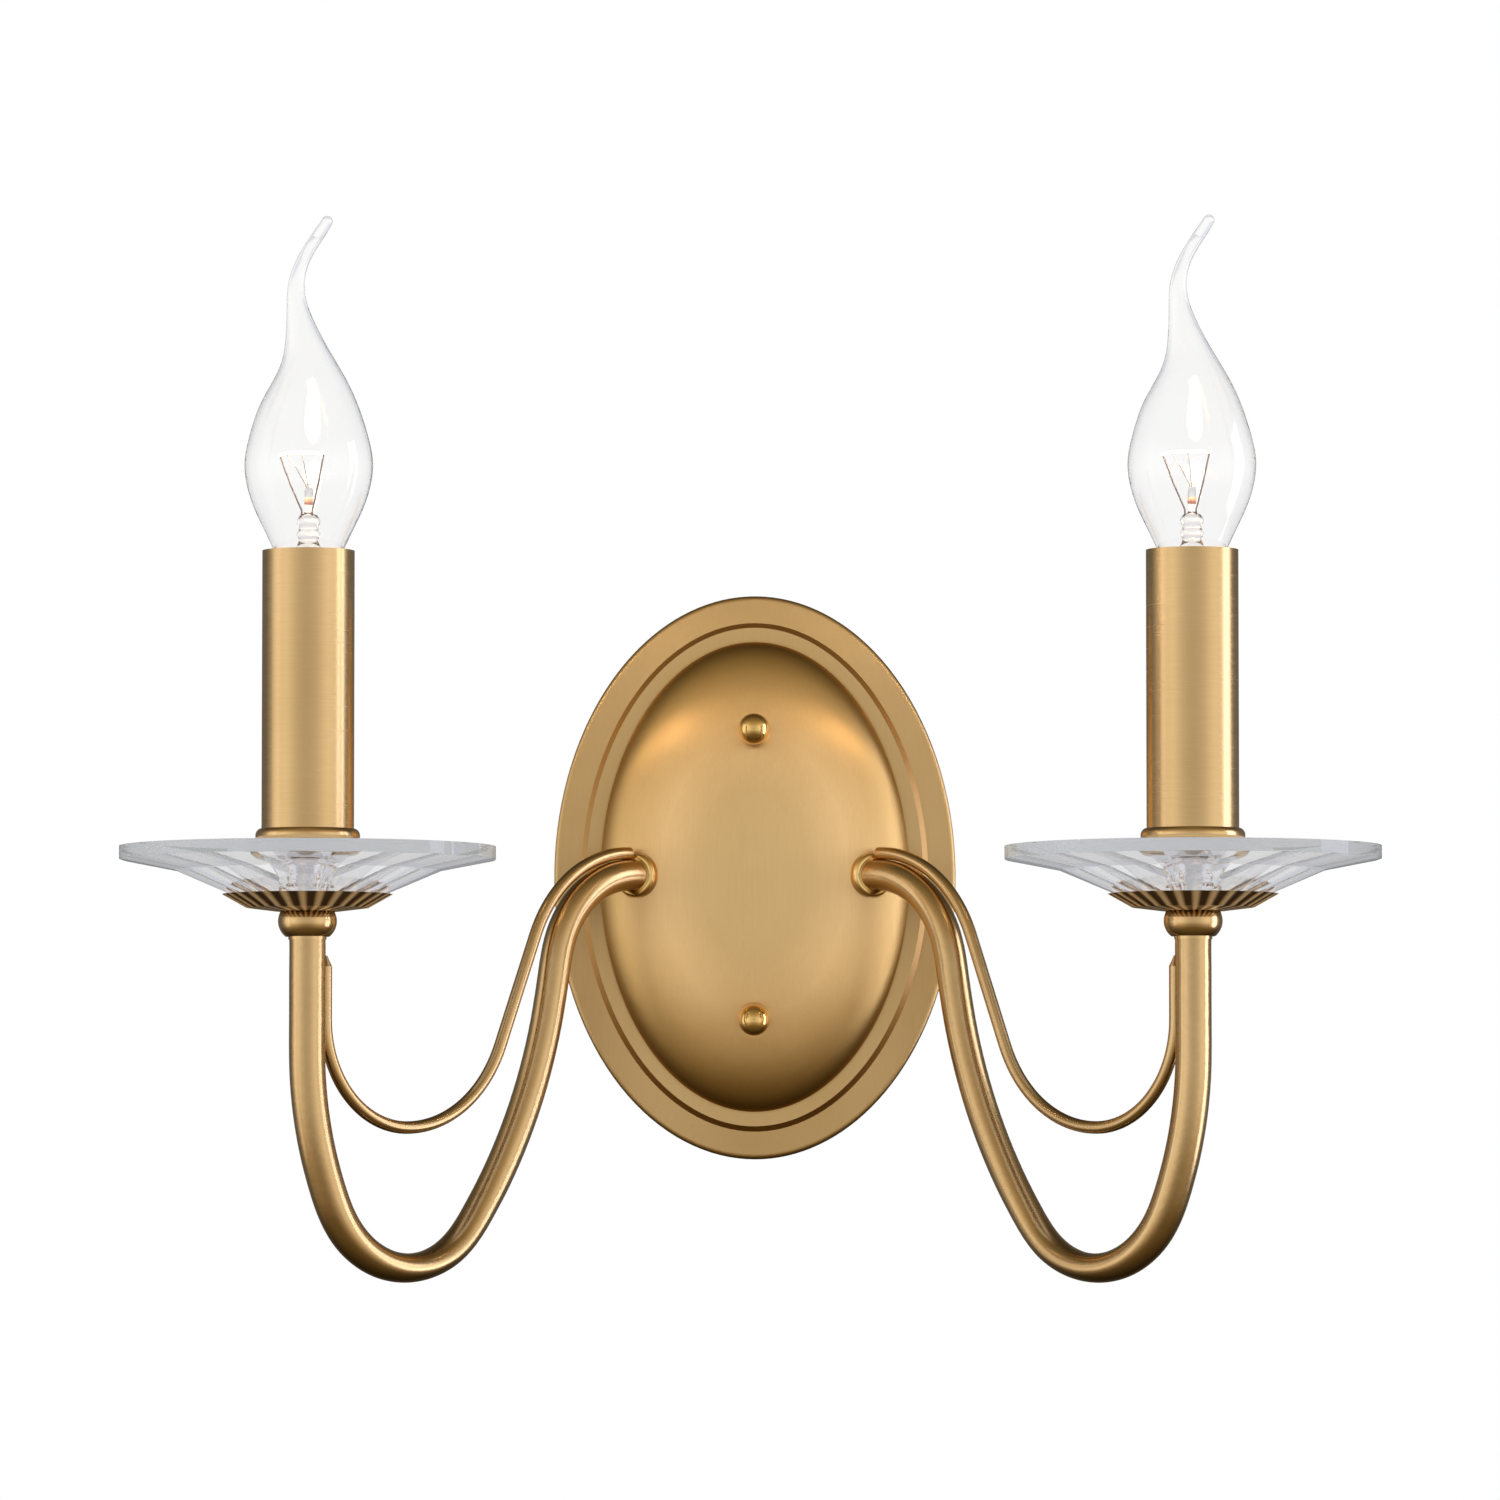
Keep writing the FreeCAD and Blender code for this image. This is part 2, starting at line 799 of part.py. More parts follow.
def make_terminal_block():
    body = new_body("terminal_block")
    sketch = new_sketch(body, "XZ_Plane", dim.bracket_sheet)
    half = dim.block_width / 2
    tall = dim.block_height / 2
    draw_points(sketch, [(-half, -tall), (half, -tall), (half, tall), (-half, tall)])
    draw_circles(sketch, [(0, dim.block_pitch / 2, dim.block_screw_radius + dim.fit)])
    extrude(body, sketch, dim.block_depth, both_ways=False)
    ways = new_sketch(body, "YZ_Plane")
    middle = -block_middle
    draw_circles(
        ways, [(middle, k * dim.block_pitch, dim.lead_radius + dim.fit) for k in (-1, 0, 1)]
    )
    extrude(body, ways, 2 * dim.block_width, "Pocket")
    node("terminal_block", body)


def turned_screw(label, shank, head, shank_length, head_height):
    """A screw along +Z with its head's seat at height zero and its shank below."""
    body = new_body(label)
    revolve(
        body,
        [
            (0, -shank_length),
            (shank, -shank_length),
            (shank, 0),
            (head, 0),
            (head, head_height * 0.6),
            (head * 0.8, head_height),
            (0, head_height),
        ],
    )
    return body


def make_screws():
    out = dim.bracket_sheet + dim.block_depth
    clamp = cylinder("clamp_screw", dim.clamp_screw_radius, dim.clamp_screw_height)
    made = []
    for row in (-1, 0, 1):
        for column in (-1, 1):
            twin = doc.addObject("Part::Compound", "clamp_screw_twin")
            twin.Links = [clamp]
            across = column * (dim.block_width / 2 - 2 * dim.clamp_screw_radius)
            made.append(
                place(twin, x=across, y=-out, z=row * dim.block_pitch, rotation=facing_out())
            )
    node("terminal_screws", join("Compound", "terminal_screws", made))
    fixing = turned_screw(
        "block_screw", dim.block_screw_radius, dim.block_screw_head, out - 0.2, 1.4
    )
    place(fixing, y=-out, z=dim.block_pitch / 2, rotation=facing_out())
    node("block_screw", fixing)
    earth = turned_screw(
        "earth_screw",
        dim.earth_screw_radius,
        dim.earth_screw_head,
        dim.bracket_sheet + dim.eye_sheet - 0.2,
        2.4,
    )
    seat = dim.bracket_sheet + dim.eye_sheet
    place(earth, y=-seat, z=dim.earth_screw_rise, rotation=facing_out())
    node("earth_screw", earth)


# Ferrules and locknuts where the arms enter the plate


def make_ferrule(side):
    body = new_body("arm_ferrule_" + side + "_turned")
    bead = dim.ferrule_height / 2
    middle = dim.ferrule_radius - bead
    chamfer = 0.4
    revolve(
        body,
        [
            (dim.spigot_bore, -dim.spigot_length),
            (dim.spigot_radius - chamfer, -dim.spigot_length),
            (dim.spigot_radius, chamfer - dim.spigot_length),
            (dim.spigot_radius, 0),
            (middle, 0),
            (dim.ferrule_radius, bead, bead),
            (middle, dim.ferrule_height, bead),
            (dim.spigot_radius, dim.ferrule_height),
            (dim.spigot_radius, dim.ferrule_floor),
            (dim.spigot_bore, dim.ferrule_floor),
        ],
    )
    socket = cylinder(
        "socket_" + side, dim.tube_rise_width / 2 + dim.fit, 4 * dim.ferrule_height
    )
    back = dim.ferrule_height
    place(
        socket,
        x=-SIDES[side] * back * sine(socket_lean),
        z=dim.ferrule_floor - back * cosine(socket_lean),
        rotation=FreeCAD.Rotation(V(0, 1, 0), SIDES[side] * socket_lean.value),
    )
    deep = 3 * dim.ferrule_height
    below = cylinder("socket_floor_" + side, 2 * dim.ferrule_radius, deep)
    place(below, z=dim.ferrule_floor - deep)
    above = join("Cut", "socket_above_" + side, [socket, below])
    made = join("Cut", "arm_ferrule_" + side, [body, above])
    node("arm_ferrule_" + side, at_ferrule(made, side))


def make_ferrule_nuts():
    washer = new_body("lockwasher")
    hole = dim.spigot_radius + dim.fit
    edge = dim.locknut_flats / 2
    revolve(
        washer,
        [(hole, 0), (edge, 0), (edge, dim.lockwasher_height), (hole, dim.lockwasher_height)],
    )
    nut = hex_nut("locknut", dim.locknut_flats, dim.locknut_height, hole)
    washer_out = -(dim.seat_web + dim.lockwasher_height)
    nut_out = washer_out - dim.locknut_height
    for name, item, out in (
        ("arm_lockwashers", washer, washer_out),
        ("arm_locknuts", nut, nut_out),
    ):
        made = []
        for side in SIDES:
            twin = doc.addObject("Part::Compound", item.Label + "_" + side)
            twin.Links = [item]
            made.append(at_ferrule(twin, side, out))
        node(name, join("Compound", name, made))


# Arm tube and scroll rod, drawn in the arm's own upright plane: x runs from the candle to the plate


def walk(start, heading, moves):
    """Follows straight runs (length,) and arcs (radius, turn); returns each end with its heading."""
    x, z = start
    ends = [(x, z, heading, 0)]
    for move in moves:
        if len(move) == 1:
            x = x + move[0] * cosine(heading)
            z = z + move[0] * sine(heading)
            ends.append((x, z, heading, 0))
            continue
        radius, turn = move
        after = heading + turn
        way = 1 if number(turn) > 0 else -1
        x = x + way * radius * (sine(after) - sine(heading))
        z = z + way * radius * (cosine(heading) - cosine(after))
        heading = after
        ends.append((x, z, heading, way * radius))
    return ends


DOWN = -90


def arm_moves():
    """The arm's moves from candle to plate; the bottom bend closes the reach and the drop the rise."""
    lean_end = DOWN + dim.lean_angle
    fixed_reach = (
        dim.lean_radius * (1 - cosine(dim.lean_angle))
        + dim.sweep_radius * (sine(dim.steep_angle) - sine(dim.rise_angle))
        + dim.steep_run * cosine(dim.steep_angle)
        + dim.root_radius * sine(dim.steep_angle)
        + dim.root_run
    )
    bend_share = sine(dim.rise_angle) - sine(lean_end)
    bend = keep("bend_radius", (reach - fixed_reach) / bend_share)
    climb = (
        dim.sweep_radius * (cosine(dim.rise_angle) - cosine(dim.steep_angle))
        + dim.steep_run * sine(dim.steep_angle)
        + dim.root_radius * (1 - cosine(dim.steep_angle))
    )
    dip = dim.lean_radius * sine(dim.lean_angle) + bend * (
        cosine(dim.rise_angle) - cosine(lean_end)
    )
    drop = keep("arm_drop", dim.tube_top + climb - dip)
    return [
        (drop,),
        (dim.lean_radius, dim.lean_angle),
        (bend, dim.rise_angle - lean_end),
        (dim.sweep_radius, dim.steep_angle - dim.rise_angle),
        (dim.steep_run,),
        (dim.root_radius, -dim.steep_angle),
        (dim.root_run,),
    ]


def kept_walk(name, start, moves):
    """The walk's points, each worked out once in the document."""
    points = []
    for k, (x, z, _heading, radius) in enumerate(walk(start, DOWN, moves)):
        point = (keep("%s_x%d" % (name, k), x + 0), keep("%s_z%d" % (name, k), z + 0))
        points.append(point + ((radius,) if number(radius) else ()))
    return points


def tube_widths(share):
    """Widths of the tube in the bend's plane and across it, by its share of the way round."""
    stops = [
        (0.0, dim.tube_top_width, dim.tube_top_width),
        (0.28, dim.tube_top_width, dim.tube_top_width),
        (0.44, dim.tube_bend_width, dim.tube_bend_spread),
        (0.62, dim.tube_rise_width, dim.tube_rise_width + dim.fit),
        (1.0, dim.tube_rise_width, dim.tube_rise_width),
    ]
    for (low, deep0, wide0), (high, deep1, wide1) in zip(stops, stops[1:]):
        if share <= high:
            part = (share - low) / (high - low)
            part = part * part * (3 - 2 * part)
            return deep0 * (1 - part) + deep1 * part, wide0 * (1 - part) + wide1 * part
    return stops[-1][1], stops[-1][2]


def stations_along(moves, step):
    """Evenly spaced (x, z, heading, share of the length) along the moves, by value."""
    lengths = []
    for move in moves:
        turn = abs(math.radians(number(move[1]))) if len(move) > 1 else 1.0
        lengths.append(number(move[0]) * turn)
    total = sum(lengths)
    ends = walk((0.0 * reach, dim.tube_top), DOWN, moves)
    found = [(ends[0][0].value, ends[0][1].value, float(DOWN), 0.0)]
    gone = 0.0
    for move, length, begin in zip(moves, lengths, ends):
        count = max(1, round(length / step))
        for k in range(1, count + 1):
            part = (move[0] * k / count,) if len(move) == 1 else (move[0], move[1] * k / count)
            x, z, heading, _radius = walk(begin[:2], begin[2], [part])[-1]
            found.append((number(x), number(z), number(heading), (gone + length * k / count) / total))
        gone += length
    return found


def tube_loft(label, moves, wall):
    """Smooth tube through ellipses that stand square to the arm's line."""
    rings = []
    for x, z, heading, share in stations_along(moves, STATION_STEP):
        deep, wide = tube_widths(share)
        ring = doc.addObject("Part::Ellipse", label + "_ring")
        ring.MajorRadius = number(wide) / 2 - number(wall) + 1e-4
        ring.MinorRadius = number(deep) / 2 - number(wall)
        bind(ring, "MinorRadius", deep / 2 - wall)
        bind(ring, "MajorRadius", wide / 2 - wall + 1e-4)
        along = V(math.cos(math.radians(heading)), 0, math.sin(math.radians(heading)))
        across = V(0, 1, 0)
        turned = FreeCAD.Rotation(across, along.cross(across), along, "XYZ")
        ring.Placement = FreeCAD.Placement(V(x, 0, z), turned)
        rings.append(ring)
    loft = doc.addObject("Part::Loft", label)
    loft.Sections = rings
    loft.Solid = True
    return loft


def on_arm(item, side):
    """Stands a piece made in the arm's plane on that side of the lamp."""
    angle = 180 - arm_angle.value if side == "right" else arm_angle.value
    sign = SIDES[side]
    return place(
        item, x=sign * half_spread, y=-dim.projection, rotation=FreeCAD.Rotation(UP, angle)
    )


def make_arm(side, moves):
    longer = moves[:-1] + [(moves[-1][0] + dim.ferrule_height,)]
    outer = tube_loft("tube_outside_" + side, longer, 0.0)
    inner = tube_loft("tube_inside_" + side, longer, dim.tube_wall)
    hollow = join("Cut", "tube_hollow_" + side, [outer, inner])
    tapped = cylinder("tube_tapped_" + side, nipple_hole, 2 * dim.nipple_below)
    place(tapped, z=dim.tube_top - dim.nipple_below - dim.fit)
    pipe = join("Cut", "tube_whole_" + side, [hollow, tapped])
    # the end is cut to the floor of the ferrule's socket, which faces another way than the arm
    trim = doc.addObject("Part::Box", "tube_trim_" + side)
    block = 4 * dim.tube_top_width
    for name in ("Length", "Width", "Height"):
        setattr(trim, name, number(block))
        bind(trim, name, block)
    lean = -SIDES[side] * socket_lean.value
    turned = FreeCAD.Rotation(UP, lean)
    corner = turned.multVec(V(0, -number(block) / 2, -number(block) / 2))
    trim.Placement = FreeCAD.Placement(corner + V(reach.value, 0, 0), turned)
    made = join("Cut", "arm_tube_" + side, [pipe, trim])
    node("arm_tube_" + side, on_arm(made, side))


def make_rod(side):
    body = new_body("scroll_rod_" + side)
    start_x = dim.tube_top_width / 2 + dim.rod_radius - dim.braze
    end_z = dim.tube_rise_width / 2 + dim.rod_radius - dim.braze
    end_x = reach - dim.rod_end_gap
    steep = dim.rod_steep_angle
    rise = sine(steep)
    fixed = (
        start_x
        + dim.rod_turn_radius
        + dim.rod_steep_run * cosine(steep)
        + dim.rod_root_radius * rise
    )
    if side == "left":
        make_rod.bend = keep("rod_bend_radius", (end_x - fixed) / rise)
        climb = (
            make_rod.bend * (1 - cosine(steep))
            + dim.rod_steep_run * rise
            + dim.rod_root_radius * (1 - cosine(steep))
        )
        make_rod.drop = keep("rod_drop", dim.rod_tip - dim.rod_turn_radius + climb - end_z)
        moves = [
            (make_rod.drop,),
            (dim.rod_turn_radius, 90),
            (make_rod.bend, steep),
            (dim.rod_steep_run,),
            (dim.rod_root_radius, -steep),
        ]
        make_rod.points = kept_walk("rod", (start_x, dim.rod_tip), moves)
    line = new_sketch(body, "XZ_Plane")
    draw_points(line, make_rod.points, closed=False)
    ring = new_sketch(body, "XY_Plane", dim.rod_tip)
    draw_circles(ring, [(start_x, 0, dim.rod_radius)])
    pipe = body.newObject("PartDesign::AdditivePipe", "rod_pipe")
    pipe.Profile = ring
    pipe.Spine = (line, ["Edge%d" % (k + 1) for k in range(len(make_rod.points) - 1)])
    point = body.newObject("PartDesign::AdditiveCone", "rod_point")
    for name, size in (
        ("Radius1", dim.rod_radius),
        ("Radius2", dim.rod_point_radius),
        ("Height", dim.rod_point),
    ):
        setattr(point, name, number(size))
        bind(point, name, size)
    place(point, x=start_x, z=dim.rod_tip)
    node("scroll_rod_" + side, on_arm(body, side))


# The stack of pieces under each candle


def make_collar(side):
    body = new_body("ball_collar_" + side)
    revolve(
        body,
        [
            (nipple_hole, dim.tube_top),
            (dim.collar_foot_radius, dim.tube_top),
            (dim.collar_foot_radius, collar_foot_top),
            (dim.collar_bottom_radius, collar_foot_top),
            (dim.collar_top_radius, cup_bottom, dim.collar_side_radius),
            (nipple_hole, cup_bottom),
        ],
    )
    node("ball_collar_" + side, at_candle(body, side))


def draw_flutes(sketch, count, ridge, valley):
    """A closed outline that runs between two radii, once for each flute."""
    points = []
    for k in range(2 * count):
        size = valley if k % 2 else ridge
        turn = 180.0 * k / count
        points.append((size * cosine(turn), size * sine(turn)))
    draw_points(sketch, points)


def make_cup(side):
    """A shallow cup whose underside is fluted, with sharp ridges that reach the rim."""
    body = new_body("fluted_cup_" + side)
    top = cup_bottom + dim.cup_rise
    middle = cup_bottom + dim.cup_middle_rise
    rings = [
        (cup_bottom, dim.cup_foot_radius, dim.flute_start_depth),
        (middle, dim.cup_middle_radius, dim.flute_middle_depth),
        (top, dim.cup_rim_radius, dim.flute_rim_depth),
    ]
    sketches = []
    for level, ridge, depth in rings:
        sketch = new_sketch(body, "XY_Plane", level)
        draw_flutes(sketch, int(dim.cup_flutes.value), ridge, ridge - depth)
        sketches.append(sketch)
    loft = body.newObject("PartDesign::AdditiveLoft", "cup_loft")
    loft.Profile = sketches[0]
    loft.Sections = sketches[1:]
    loft.Ruled = True
    # the hollow for the dish, with the hole for the nipple
    above = top + dim.cup_sheet
    below = cup_bottom - dim.cup_sheet
    floor_radius = (dim.cup_foot_radius + dim.cup_middle_radius) / 2
    revolve(
        body,
        [
            (0, below),
            (nipple_hole, below),
            (nipple_hole, washer_bottom),
            (floor_radius, washer_bottom),
            (dim.cup_middle_radius, middle + dim.cup_sheet * 1.1),
            (dim.cup_rim_radius - dim.cup_lip, top),
            (dim.cup_rim_radius - dim.cup_lip, above),
            (0, above),
        ],
        "Groove",
    )
    node("fluted_cup_" + side, at_candle(body, side))


def make_dish_washers():
    made = []
    for side in SIDES:
        washer = new_body("dish_washer_" + side)
        revolve(
            washer,
            [
                (nipple_hole, washer_bottom),
                (dim.dish_washer_radius, washer_bottom),
                (dim.dish_washer_radius, dish_bottom),
                (nipple_hole, dish_bottom),
            ],
        )
        made.append(at_candle(washer, side))
    node("dish_washers", join("Compound", "dish_washers", made))


def facet_frustum(label, flats_low, flats_high, low, high):
    """A solid with flat faces all round, wider at the top, from one height to another."""
    body = new_body(label)
    sketches = []
    for flats, level in ((flats_low, low), (flats_high, high)):
        sketch = new_sketch(body, "XY_Plane", level)
        draw_polygon(sketch, int(dim.dish_facets.value), flats)
        sketches.append(sketch)
    loft = body.newObject("PartDesign::AdditiveLoft", label + "_loft")
    loft.Profile = sketches[0]
    loft.Sections = [sketches[1]]
    loft.Ruled = True
    return body


def make_dish(side):
    rim_low = dish_bottom + dim.dish_rim_rise
    rim_top = rim_low + dim.dish_rim_height
    turned = new_body("dish_turned_" + side)
    revolve(
        turned,
        [
            (dim.dish_hole, dish_bottom),
            (dim.dish_radius, dish_bottom),
            (dim.dish_radius, rim_top),
            (dim.dish_radius - dim.dish_rim_land, rim_top),
            (dim.dish_shoulder_radius, dish_bottom + dim.dish_shoulder_rise),
            (dim.dish_floor_radius, spindle_bottom),
            (dim.dish_hole, spindle_bottom),
        ],
    )
    corner = 1 / math.cos(math.pi / dim.dish_facets.value)
    break_level = dish_bottom + dim.dish_break_rise
    lower = facet_frustum(
        "dish_lower_" + side,
        2 * dim.dish_base_radius,
        2 * dim.dish_break_radius,
        dish_bottom,
        break_level,
    )
    upper = facet_frustum(
        "dish_upper_" + side,
        2 * dim.dish_break_radius,
        2 * dim.dish_radius * corner,
        break_level,
        rim_low,
    )
    top = new_body("dish_top_" + side)
    sketch = new_sketch(top, "XY_Plane", rim_low)
    draw_circles(sketch, [(0, 0, dim.dish_radius * corner)])
    extrude(top, sketch, dim.dish_rim_height, both_ways=False)
    cut = join("MultiFuse", "dish_cut_" + side, [lower, upper, top])
    made = join("MultiCommon", "crystal_dish_" + side, [turned, cut])
    node("crystal_dish_" + side, at_candle(made, side))


def make_spindle(side):
    body = new_body("glass_spindle_" + side)
    high = dim.spindle_height
    foot = dim.spindle_foot_radius
    waist = dim.spindle_waist_radius
    revolve(
        body,
        [
            (dim.spindle_bore, spindle_bottom),
            (foot, spindle_bottom),
            (foot, spindle_bottom + 0.25 * high, foot / 2),
            (waist, spindle_bottom + 0.36 * high),
            (dim.spindle_top_radius, pan_bottom - 0.08 * high, 3 * waist),
            (dim.spindle_top_radius, pan_bottom),
            (dim.spindle_bore, pan_bottom),
        ],
    )
    # narrow hollows round the flared upper part
    groove = new_sketch(body, "XZ_Plane")
    edge = dim.spindle_top_radius
    draw_points(
        groove,
        [
            (waist + 0.2, spindle_bottom + 0.5 * high),
            (edge + 1.0, spindle_bottom + 0.5 * high),
            (edge + 1.0, pan_bottom - 0.1 * high),
            (edge - 0.9, pan_bottom - 0.1 * high),
        ],
    )
    cut = body.newObject("PartDesign::Groove", "flute")
    cut.Profile = groove
    cut.ReferenceAxis = (groove, ["V_Axis"])
    cut.Angle = 360.0 / dim.spindle_flutes.value * 0.3
    cut.Midplane = True
    bind(cut, "Angle", 360 / dim.spindle_flutes * 0.3)
    polar(body, cut, dim.spindle_flutes)
    node("glass_spindle_" + side, at_candle(body, side))


def make_pan(side):
    body = new_body("candle_pan_" + side)
    bore = sleeve_bore - dim.sleeve_gap
    inside = bore - dim.pan_wall
    edge = dim.pan_edge_radius
    bead = dim.pan_bead_radius
    revolve(
        body,
        [
            (nipple_hole, pan_bottom),
            (edge, pan_bottom),
            (dim.pan_radius, pan_bottom + dim.pan_height / 2, bead),
            (edge, sleeve_bottom, bead),
            (bore, sleeve_bottom),
            (bore, sleeve_bottom + dim.pan_spigot),
            (inside, sleeve_bottom + dim.pan_spigot),
            (inside, leg_bottom),
            (nipple_hole, leg_bottom),
        ],
    )
    node("candle_pan_" + side, at_candle(body, side))


def make_nipple(side):
    body = new_body("threaded_nipple_" + side)
    low = dim.tube_top - dim.nipple_below
    high = leg_bottom + dim.leg_sheet + dim.nipple_above
    revolve(
        body,
        [
            (dim.nipple_bore, low),
            (dim.nipple_radius, low),
            (dim.nipple_radius, high),
            (dim.nipple_bore, high),
        ],
    )
    node("threaded_nipple_" + side, at_candle(body, side))


def make_nipple_nuts():
    made = []
    for side in SIDES:
        nut = hex_nut("nipple_nut_" + side, dim.locknut_flats, dim.locknut_height, nipple_hole)
        sign = SIDES[side]
        made.append(
            place(nut, x=sign * half_spread, y=-dim.projection, z=leg_bottom + dim.leg_sheet)
        )
    node("nipple_nuts", join("Compound", "nipple_nuts", made))


def make_sleeve(side):
    body = new_body("candle_sleeve_" + side)
    top = sleeve_bottom + dim.sleeve_length
    revolve(
        body,
        [
            (sleeve_bore, sleeve_bottom),
            (dim.sleeve_radius, sleeve_bottom),
            (dim.sleeve_radius, top),
            (sleeve_bore, top),
        ],
    )
    node("candle_sleeve_" + side, at_candle(body, side))


# Lampholder


def make_leg(side):
    """A strap bent to a C: the lower foot is clamped by the nut, the upper one carries the holder."""
    body = new_body("lampholder_leg_" + side)
    skin = dim.leg_sheet
    inside = dim.leg_offset
    sketch = new_sketch(body, "XZ_Plane")
    draw_points(
        sketch,
        [
            (-dim.leg_end, leg_bottom),
            (inside + skin, leg_bottom),
            (inside + skin, holder_bottom),
            (-dim.leg_end, holder_bottom),
            (-dim.leg_end, holder_bottom - skin),
            (inside, holder_bottom - skin),
            (inside, leg_bottom + skin),
            (-dim.leg_end, leg_bottom + skin),
        ],
    )
    extrude(body, sketch, dim.leg_width)
    for level, radius in ((leg_bottom, nipple_hole), (holder_bottom - skin, dim.leg_wire_hole)):
        hole = new_sketch(body, "XY_Plane", level)
        draw_circles(hole, [(0, 0, radius)])
        extrude(body, hole, 3 * skin, "Pocket")
    node("lampholder_leg_" + side, at_candle(body, side))


def make_holder(side):
    body = new_body("lampholder_body_" + side)
    top = holder_bottom + dim.holder_height
    edge = dim.holder_radius
    revolve(
        body,
        [
            (dim.leg_wire_hole, holder_bottom),
            (edge - 1.0, holder_bottom),
            (edge, holder_bottom + 1.0),
            (edge, top - 0.6),
            (edge - 0.6, top),
            (dim.holder_bore, top),
            (dim.holder_bore, contact_bottom),
            (dim.leg_wire_hole, contact_bottom),
        ],
    )
    node("lampholder_body_" + side, at_candle(body, side))
    shell = new_body("lampholder_shell_" + side)
    outside = dim.holder_bore - dim.fit
    revolve(
        shell,
        [
            (shell_bore, cap_bottom),
            (outside, cap_bottom),
            (outside, top - 1.0),
            (shell_bore, top - 1.0),
        ],
    )
    node("lampholder_shell_" + side, at_candle(shell, side))
    contact = new_body("lampholder_contact_" + side)
    spread = dim.leg_wire_hole + 2.0
    plate = 0.8
    revolve(
        contact,
        [
            (0, contact_bottom),
            (spread, contact_bottom),
            (spread, contact_bottom + plate),
            (dim.contact_radius, contact_bottom + plate),
            (dim.contact_radius, foot_bottom),
            (0, foot_bottom),
        ],
    )
    node("lampholder_contact_" + side, at_candle(contact, side))


# Lamp


def make_lamp_base(side):
    foot_top = foot_bottom + dim.foot_height
    foot = new_body("bulb_foot_contact_" + side)
    revolve(
        foot,
        [
            (0, foot_bottom),
            (dim.foot_radius * 0.6, foot_bottom),
            (dim.foot_radius, foot_bottom + dim.foot_height * 0.6),
            (dim.foot_radius, foot_top),
            (0, foot_top),
        ],
    )
    node("bulb_foot_contact_" + side, at_candle(foot, side))
    ring = new_body("bulb_insulator_" + side)
    seat = dim.cap_radius - dim.cap_sheet
    revolve(
        ring,
        [
            (0, foot_top),
            (dim.foot_radius * 1.5, foot_top),
            (seat, cap_bottom),
            (seat, cap_bottom + 0.6),
            (0, cap_bottom + 0.6),
        ],
    )
    node("bulb_insulator_" + side, at_candle(ring, side))
    cap = new_body("bulb_cap_" + side)
    revolve(
        cap,
        [
            (seat, cap_bottom),
            (dim.cap_radius - 0.2, cap_bottom),
            (dim.cap_radius, cap_bottom + 0.4),
            (dim.cap_radius, cap_top),
            (seat, cap_top),
        ],
    )
    node("bulb_cap_" + side, at_candle(cap, side))


# The flame's outline above the cap, as shares of its height above the cap and of its widest radius:
# height, radius and how far the middle line stands to the side
FLAME = [
    (0.000, 0.360, 0.000),
    (0.045, 0.480, 0.000),
    (0.115, 0.650, 0.000),
    (0.190, 0.850, 0.000),
    (0.255, 0.965, 0.000),
    (0.315, 1.000, 0.000),
    (0.390, 0.925, 0.000),
    (0.465, 0.790, 0.000),
    (0.537, 0.598, 0.000),
    (0.610, 0.386, -0.040),
    (0.684, 0.246, -0.121),
    (0.757, 0.158, -0.195),
    (0.795, 0.135, -0.208),
    (0.835, 0.116, -0.179),
    (0.885, 0.100, -0.075),
    (0.940, 0.094, 0.112),
    (0.985, 0.086, 0.275),
]


def flame_loft(label, skin, last):
    """Loft through rings that stand square to the flame's middle line, closed by the neck below."""
    rings = []
    for k in range(last):
        height, share, side = FLAME[k]
        before = FLAME[max(k - 1, 0)]
        after = FLAME[min(k + 1, len(FLAME) - 1)]
        rise = (after[0] - before[0]) * flame_height.value
        shift = (after[2] - before[2]) * dim.bulb_radius.value
        ring = doc.addObject("Part::Circle", label + "_ring")
        radius = share * dim.bulb_radius - skin
        ring.Radius = number(radius)
        bind(ring, "Radius", radius)
        lean = FreeCAD.Rotation(V(0, 1, 0), math.degrees(math.atan2(shift, rise)))
        place(
            ring,
            x=side * dim.bulb_radius,
            z=cap_top + height * flame_height,
            rotation=lean,
        )
        rings.append(ring)
    loft = doc.addObject("Part::Loft", label)
    loft.Sections = rings
    loft.Solid = True
    neck = cylinder(label + "_neck", FLAME[0][1] * dim.bulb_radius - skin, dim.bulb_neck)
    place(neck, z=glass_bottom)
    return join("MultiFuse", label + "_closed", [loft, neck])


def make_glass(side):
    outer = flame_loft("flame_outside_" + side, 0.0, len(FLAME))
    height, share, aside = FLAME[-1]
    tip = doc.addObject("Part::Sphere", "flame_tip_" + side)
    tip_radius = share * dim.bulb_radius
    tip.Radius = number(tip_radius)
    bind(tip, "Radius", tip_radius)
    place(tip, x=aside * dim.bulb_radius, z=cap_top + height * flame_height)
    whole = join("MultiFuse", "flame_whole_" + side, [outer, tip])
    inner = flame_loft("flame_inside_" + side, dim.glass_wall, len(FLAME) - 1)
    made = join("Cut", "bulb_glass_" + side, [whole, inner])
    node("bulb_glass_" + side, at_candle(made, side))


